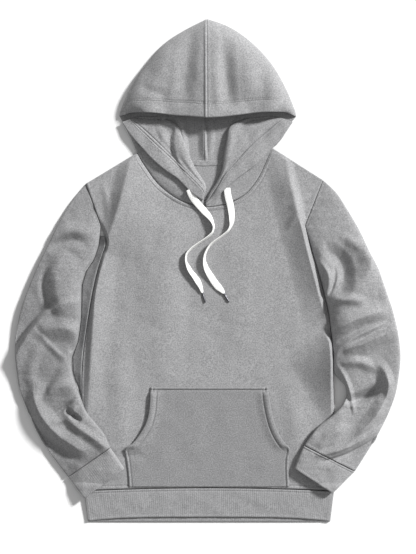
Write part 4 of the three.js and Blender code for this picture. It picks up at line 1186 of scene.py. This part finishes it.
def turned_edge(table):
    """The hood's turned front edge as one folded cloth, thicker where its hem is doubled."""
    last = len(table) - 1
    v = crowded(300, 2.4, 1.2, 6)
    sections = edge_sections(table, v * last)
    count = sections.shape[1]
    place = np.concatenate([np.linspace(0, count - 5, 44), np.linspace(count - 5, count - 1, 60)[1:]])
    controls = sections.transpose(1, 0, 2).reshape(count, -1)
    middle = rows_at(controls, place).reshape(len(place), -1, 3).transpose(1, 0, 2).copy()
    hem_part = place[None, :] - (count - 4)
    doubled = smooth(hem_part, -0.1, 0.12)
    stitch_line = hump(hem_part, -0.08, 0.17) + 0.7 * hump(hem_part, 0.28, 0.14)
    thickness = CLOTH + 1.2 * doubled - 0.5 * stitch_line
    middle[..., 2] += 1.1 * doubled - 1.4 * stitch_line
    upper = smooth(place, 7.2, 8.0)[None, :]
    folds = fold_height(EDGE_FOLDS, middle[..., 0], middle[..., 1])
    middle[..., 2] += upper * (folds + 0.6 * ripple(middle[..., 0], middle[..., 1], 34, 41))
    return cloth_shell(middle, thickness)


def hood_half(name, crown_table, edge_table, side):
    """One half of the hood: its crown and back, and its turned front edge."""
    return put_mesh(name, *join_parts([crown(crown_table, side), turned_edge(edge_table)]), FLEECE)


front = finished(body_front(), "fleece", "body_front")
back = finished(body_back(), "fleece", "body_back")
pocket = finished(kangaroo_pocket(), "fleece", "pocket")
hem = finished(hem_band(), "band_knit", "hem_band")
# The left sleeve takes the darker fleece: painted shade
left_sleeve = sleeve("left_sleeve", LEFT_SLEEVE, LEFT_SLEEVE_FOLDS, -1, LEFT_TILT, tuck=0.0,
                     cloth=FLEECE_PAINTED_SHADE, extra=[underarm_fold()])
finished(left_sleeve, "fleece", "sleeve_left")
right_sleeve = sleeve("right_sleeve", RIGHT_SLEEVE, RIGHT_SLEEVE_FOLDS, 1, RIGHT_TILT, tuck=1.0,
                      cloth=FLEECE)
finished(right_sleeve, "fleece", "sleeve_right")
left_cuff = cuff("left_cuff", LEFT_CUFF, LEFT_SLEEVE_FOLDS, -1, LEFT_TILT)
finished(left_cuff, "band_knit", "cuff_left")
right_cuff = cuff("right_cuff", RIGHT_CUFF, RIGHT_SLEEVE_FOLDS, 1, RIGHT_TILT)
finished(right_cuff, "band_knit", "cuff_right")
left_hood = finished(hood_half("left_hood", LEFT_CROWN, LEFT_FLAP, -1), "fleece", "hood_left")
right_hood = finished(hood_half("right_hood", RIGHT_CROWN, RIGHT_FLAP, 1), "fleece", "hood_right")

# Topstitching

STITCH = 3.0  # mm of thread that shows in one stitch
STITCH_GAP = 0.9  # mm between stitches, where the thread dives into the cloth
THREAD_RADIUS = 0.34


def stitches(name, lines, piece):
    """Rows of topstitches along lines in plan. Each is a short thread that arches out of the piece's
    cloth as 1 - (2t - 1)^4 and dives back in, found by looking down on the piece."""
    tree = BVHTree.FromObject(piece, bpy.context.evaluated_depsgraph_get())
    t = np.linspace(0, 1, 5)
    turn = np.linspace(0, 2 * np.pi, 6, endpoint=False)
    threads = []
    for line in lines:
        length = np.linalg.norm(np.diff(line, axis=0), axis=1).sum()
        count = int(length / (STITCH + STITCH_GAP))
        starts = (np.arange(count) * (STITCH + STITCH_GAP) + STITCH_GAP) / length
        places = spaced(line, (starts[:, None] + t[None] * STITCH / length).ravel())
        above = np.concatenate([places, np.full((len(places), 1), 100.0)], axis=1) + TABLE_TO_ROW
        hits = [tree.ray_cast(Vector(point), Vector((0, 0, -1)))[0] for point in above / 1000]
        level = np.array([1000 * hit.z if hit else np.nan for hit in hits]).reshape(count, len(t))
        plan = places.reshape(count, len(t), 2)
        kept = np.isfinite(level).all(axis=1) & (np.ptp(level, axis=1) < STITCH)
        plan, level = plan[kept], level[kept]
        way = plan[:, -1] - plan[:, 0]
        way /= np.linalg.norm(way, axis=1, keepdims=True)
        side = np.stack([-way[:, 1], way[:, 0], np.zeros(len(way))], axis=-1)
        arch = THREAD_RADIUS * (1.6 * (1 - (2 * t - 1) ** 4) - 1.1)
        centre = np.concatenate([plan, (level + arch)[..., None]], axis=-1)
        upright = np.array([0, 0, 1]) * np.sin(turn)[:, None]
        round_way = side[:, None] * np.cos(turn)[None, :, None] + upright
        threads.append(centre[:, :, None] + THREAD_RADIUS * round_way[:, None])
    grid = np.concatenate(threads)
    count, rings, sides = grid.shape[:3]
    one = np.arange(rings * sides).reshape(rings, sides)
    walls = grid_quads(np.concatenate([one, one[:, :1]], axis=1))
    ends = np.array([[0, 1, 2, 3], [0, 3, 4, 5]])
    quads = np.concatenate([walls, ends[:, ::-1], ends + (rings - 1) * sides])
    quads = outward(grid[0].reshape(-1, 3), quads)
    quads = (quads[None] + (np.arange(count) * rings * sides)[:, None, None]).reshape(-1, 4)
    return put_mesh(name, grid.reshape(-1, 3), quads, np.zeros((quads.size, 2)), THREAD)


def beside(line, distance):
    """A line in plan moved to its left by a distance."""
    way = np.gradient(line, axis=0)
    way /= np.linalg.norm(way, axis=1, keepdims=True)
    return line + distance * np.stack([-way[:, 1], way[:, 0]], axis=-1)


def hood_stitch_lines(crown_table, edge_table):
    """The two rows along the rim's hem and the row along the turned edge's hem."""
    rows = rows_at(crown_table, np.linspace(0.7, len(crown_table) - 1.02, 120))
    rim, out = rows[:, 0:2], rows[:, 2:4]
    reach = np.linalg.norm(out - rim, axis=1, keepdims=True)
    rim_rows = [(rim + (out - rim) * distance / reach)[reach[:, 0] > 50] for distance in RIM_STITCHES]
    edge_rows = rows_at(edge_table, np.linspace(0.8, len(edge_table) - 1.3, 120))
    return rim_rows + [lerp(edge_rows[:, 4:6], edge_rows[:, 2:4], share) for share in (-0.05, 0.26)]


def pocket_stitch_lines():
    """The row under the pocket's top, and those beside its openings and its sewn sides."""
    rows = rows_at(POCKET_SIDES, np.linspace(0.1, len(POCKET_SIDES) - 1.1, 120))
    left, right = (np.stack([rows[:, k], rows[:, 0]], axis=-1) for k in (1, 2))
    level, top_left, top_right = POCKET_SIDES[0]
    inset = np.array([[POCKET_SIDE_STITCH, -POCKET_TOP_STITCH], [-POCKET_SIDE_STITCH, -POCKET_TOP_STITCH]])
    top = np.array([[top_left, level], [top_right, level]]) + inset
    opening = slice(8, 74)
    sewn = slice(84, None)
    return [
        top,
        beside(left[opening], POCKET_OPENING_STITCH), beside(right[opening], -POCKET_OPENING_STITCH),
        beside(left[sewn], POCKET_SIDE_STITCH), beside(right[sewn], -POCKET_SIDE_STITCH),
    ]


def front_stitch_lines():
    """The two rows round the neck seam and the one over the hem seam."""
    x = np.linspace(-232, 236, 80)
    neck = NECK_EDGE[4:-4]
    over_hem = np.stack([x, hem_seam_y(x) + SEAM_STITCH], axis=-1)
    return [beside(neck, -SEAM_STITCH), beside(neck, -3.4), over_hem]


THREADS = {
    piece: finished(stitches(name, lines, piece), "fleece") for name, piece, lines in (
        ("front_topstitching", front, front_stitch_lines()),
        ("pocket_topstitching", pocket, pocket_stitch_lines()),
        ("left_hood_topstitching", left_hood, hood_stitch_lines(LEFT_CROWN, LEFT_FLAP)),
        ("right_hood_topstitching", right_hood, hood_stitch_lines(RIGHT_CROWN, RIGHT_FLAP)),
    )
}


# Floor, light and sky

def floor():
    """A plain pale floor under the garment."""
    material, _, shader = new_material("matt_white_floor")
    shader.inputs["Base Color"].default_value = linear("#f4f4f4")
    shader.inputs["Roughness"].default_value = 0.9
    mesh = bpy.data.meshes.new("floor")
    reach = 6.0
    mesh.from_pydata([(-reach, -reach, 0), (reach, -reach, 0), (reach, reach, 0), (-reach, reach, 0)], [],
                     [(0, 1, 2, 3)])
    mesh.materials.append(material)
    plane = bpy.data.objects.new("floor", mesh)
    plane.location = (0, 0, -0.0005)
    bpy.context.scene.collection.objects.link(plane)


def sun(name, azimuth, elevation, strength, angle):
    """A soft studio sun from an azimuth, counted from +X towards +Y, and an elevation."""
    data = bpy.data.lights.new(name, "SUN")
    data.energy = strength
    data.angle = np.radians(angle)
    lamp = bpy.data.objects.new(name, data)
    a, e = np.radians(azimuth), np.radians(elevation)
    towards = Vector((np.cos(a) * np.cos(e), np.sin(a) * np.cos(e), np.sin(e)))
    lamp.rotation_mode = "QUATERNION"
    lamp.rotation_quaternion = towards.to_track_quat("Z", "Y")
    bpy.context.scene.collection.objects.link(lamp)


def sky(colour, strength):
    """Even light from all round, as the white walls of a studio give."""
    world = bpy.data.worlds.new("studio")
    world.use_nodes = True
    background = world.node_tree.nodes["Background"]
    background.inputs["Color"].default_value = linear(colour)
    background.inputs["Strength"].default_value = strength
    bpy.context.scene.world = world


floor()
sun("key", azimuth=37, elevation=30, strength=5.1, angle=9)
sky("#ffffff", 0.38)
bpy.context.scene.view_settings.view_transform = "Standard"
